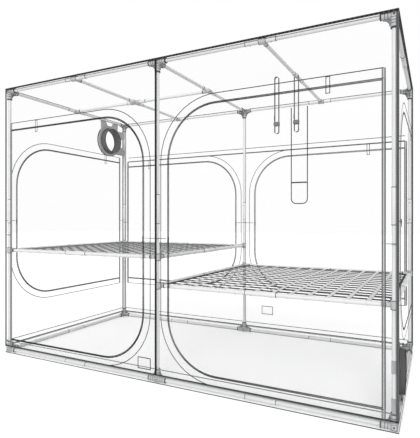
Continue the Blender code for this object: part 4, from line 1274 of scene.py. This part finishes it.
def add_lap(shape, x, y, foot):
    """A strap's sewn lap: a second layer of webbing, with a box and a cross of stitches."""
    half = WEBBING_WIDTH / 2
    shape.block((x - WEBBING / 2, y - half, foot), (x + WEBBING / 2, y + half, foot + LAP_LENGTH))
    wide = half * LAP_SHARE
    box = rectangle(y - wide, y + wide, foot + LAP_INSET, foot + LAP_LENGTH - LAP_INSET)
    for path in (box + box[:1], [box[0], box[2]], [box[1], box[3]]):
        shape.beads(Plane("X", x - WEBBING / 2, -1), path, 0, LAP_STITCH, LAP_PITCH, 0)


def add_buckle(shape, x, y, z, deep):
    """A cam buckle: two side plates, four pins between them, and the lever on the near side."""
    wide = WEBBING_WIDTH / 2 + BUCKLE_SIDE
    for side in (y - wide, y + wide):
        shape.block((x - deep, side - BUCKLE_PLATE, z - BUCKLE_HEIGHT / 2),
                    (x + deep, side + BUCKLE_PLATE, z + BUCKLE_HEIGHT / 2))
    for across, up in rectangle(-PIN_ACROSS * deep, PIN_ACROSS * deep, -PIN_UP * BUCKLE_HEIGHT,
                                PIN_UP * BUCKLE_HEIGHT):
        pin = Vector((x + across, y, z + up))
        shape.lathe(("Y", 1), pin, [(PIN_R, -wide), (PIN_R, wide)], PIN_SIDES)
    lever = [(x - deep + across, z + up) for across, up in LEVER]
    reach = WEBBING_WIDTH / 2 - LEVER_INSET
    shape.prism(Plane("Y", y, 1), lever, -reach, reach)


def pocket_outline(left, right, low, high, radius):
    """An upright strip with two rounded bottom corners."""
    points = [(left, high)]
    points += arc(left + radius, low + radius, radius, math.pi, 3 * QUARTER, POCKET_STEPS)
    points += arc(right - radius, low + radius, radius, 3 * QUARTER, TURN, POCKET_STEPS)
    points.append((right, high))
    return points


def make_pocket():
    """The hanging tool strip on the rear wall: bound all round, with a deep pocket at its foot."""
    low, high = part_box("hanging_pocket")
    width, depth, _ = high - low
    back = Plane("Y", high.y, -1)
    outline = pocket_outline(low.x, high.x, low.z, high.z, POCKET_R)
    strip = sheet_shape(back, outline, height=CLOTH, ripple=POCKET_RIPPLE, seed=POCKET_SEED)
    strip_piece = strip.piece("pocket_strip", "tent", [film], ["hanging_pocket"], "film")
    half = POCKET_BINDING / 2
    inset = pocket_outline(low.x + half, high.x - half, low.z + half, high.z, POCKET_R - half)
    binding = edged("pocket_binding", back, inset, POCKET_BINDING, seam_tape, CLOTH)
    rows = []
    for step in range(POUCH_STEPS + 1):
        share = step / POUCH_STEPS
        z = low.z + POUCH_INSET + (POCKET_HEIGHT - POUCH_INSET) * share
        swell = depth * POUCH_DEPTH * math.sin(min(1, share * POUCH_RISE + POUCH_START) * QUARTER)
        rounding = max(0, POCKET_R * (1 - share * POUCH_ROUND_PART)) ** 2 / POCKET_R * POUCH_ROUNDING
        inner = POUCH_INSET + rounding
        row = []
        for column in range(POUCH_STEPS + 1):
            across = column / POUCH_STEPS
            bow = 1 - (2 * across - 1) ** POUCH_FLATNESS
            row.append(put(back, low.x + inner + (width - 2 * inner) * across, z, CLOTH + FIT + swell * bow))
        rows.append(row)
    pouch = Shape()
    pouch.grid(rows)
    pouch_piece = pouch.piece("pocket_pouch", "tent", [film], slot="film")
    rim = Shape()
    section = rectangle(-RIM_HALF, RIM_HALF, -RIM_HEIGHT, RIM_HALF)
    rim.rings([[point + Vector((0, across, up)) for across, up in section] for point in rows[-1]])
    rim_piece = rim.piece("pocket_rim", "tent", [seam_tape])


# Stage

def any_ray(tree, *kinds):
    """1 for the named kinds of rays and 0 for all others."""
    path = add_node(tree, "LightPath", {}, {}).outputs
    found = path[kinds[0]]
    for kind in kinds[1:]:
        found = add_node(tree, "Math", {"operation": "MAXIMUM"}, {0: found, 1: path[kind]}).outputs["Value"]
    return found


def make_stage():
    """A white floor and backdrop, one broad soft lamp, and the photograph's camera."""
    plain = bpy.data.materials.new("plain_floor")
    plain.use_nodes = True
    seen = any_ray(plain.node_tree, "Is Camera Ray", "Is Transmission Ray")
    glow = add_node(plain.node_tree, "Math", {"operation": "MULTIPLY"}, {0: seen, 1: FLOOR_GLOW})
    set_inputs(plain.node_tree.nodes["Principled BSDF"], {
        "Base Color": (FLOOR_GREY, FLOOR_GREY, FLOOR_GREY, 1), "Roughness": FLOOR_ROUGHNESS,
        "Specular IOR Level": FLOOR_SPECULAR, "Emission Color": (1, 1, 1, 1),
        "Emission Strength": glow.outputs["Value"]})
    mesh = bpy.data.meshes.new("floor")
    corners = rectangle(-FLOOR_HALF, FLOOR_HALF, -FLOOR_HALF, FLOOR_HALF)
    mesh.from_pydata([(x, y, 0) for x, y in corners], [], [(0, 1, 2, 3)])
    mesh.materials.append(plain)
    link("floor", mesh)

    scene = bpy.context.scene
    world = bpy.data.worlds.new("studio")
    scene.world = world
    world.use_nodes = True
    seen = any_ray(world.node_tree, "Is Camera Ray", "Is Glossy Ray", "Is Transmission Ray")
    level = add_node(world.node_tree, "MapRange", {}, {"To Min": WORLD_LIGHT, "To Max": 1, "Value": seen})
    backdrop = world.node_tree.nodes["Background"]
    set_inputs(backdrop, {"Color": (1, 1, 1, 1), "Strength": level.outputs["Result"]})

    light = bpy.data.lights.new("key", "SUN")
    light.energy = LAMP_STRENGTH
    light.angle = LAMP_ANGLE
    lamp = link("key", light)
    lamp.location = LAMP_AT
    lamp.rotation_euler = (-Vector(LAMP_AT)).to_track_quat("-Z", "Y").to_euler()

    data = bpy.data.cameras.new("camera")
    data.sensor_width = SENSOR
    data.lens = SENSOR * FOCAL / PHOTO_HEIGHT
    data.shift_x = (PHOTO_WIDTH / 2 - PRINCIPAL_X) / PHOTO_HEIGHT
    data.shift_y = (HORIZON_Y - PHOTO_HEIGHT / 2) / PHOTO_HEIGHT
    camera = link("camera", data)
    camera.location = CAMERA_AT
    camera.rotation_euler = (QUARTER, 0, CAMERA_YAW)
    scene.camera = camera
    scene.view_settings.view_transform = "Standard"
    scene.cycles.transparent_max_bounces = TRANSPARENT_LAYERS


make_stage()
make_tubes()
make_connectors()
make_bars()
make_roof_and_floor()
make_walls()
make_leaves()
make_ducts()
make_straps()
make_pocket()
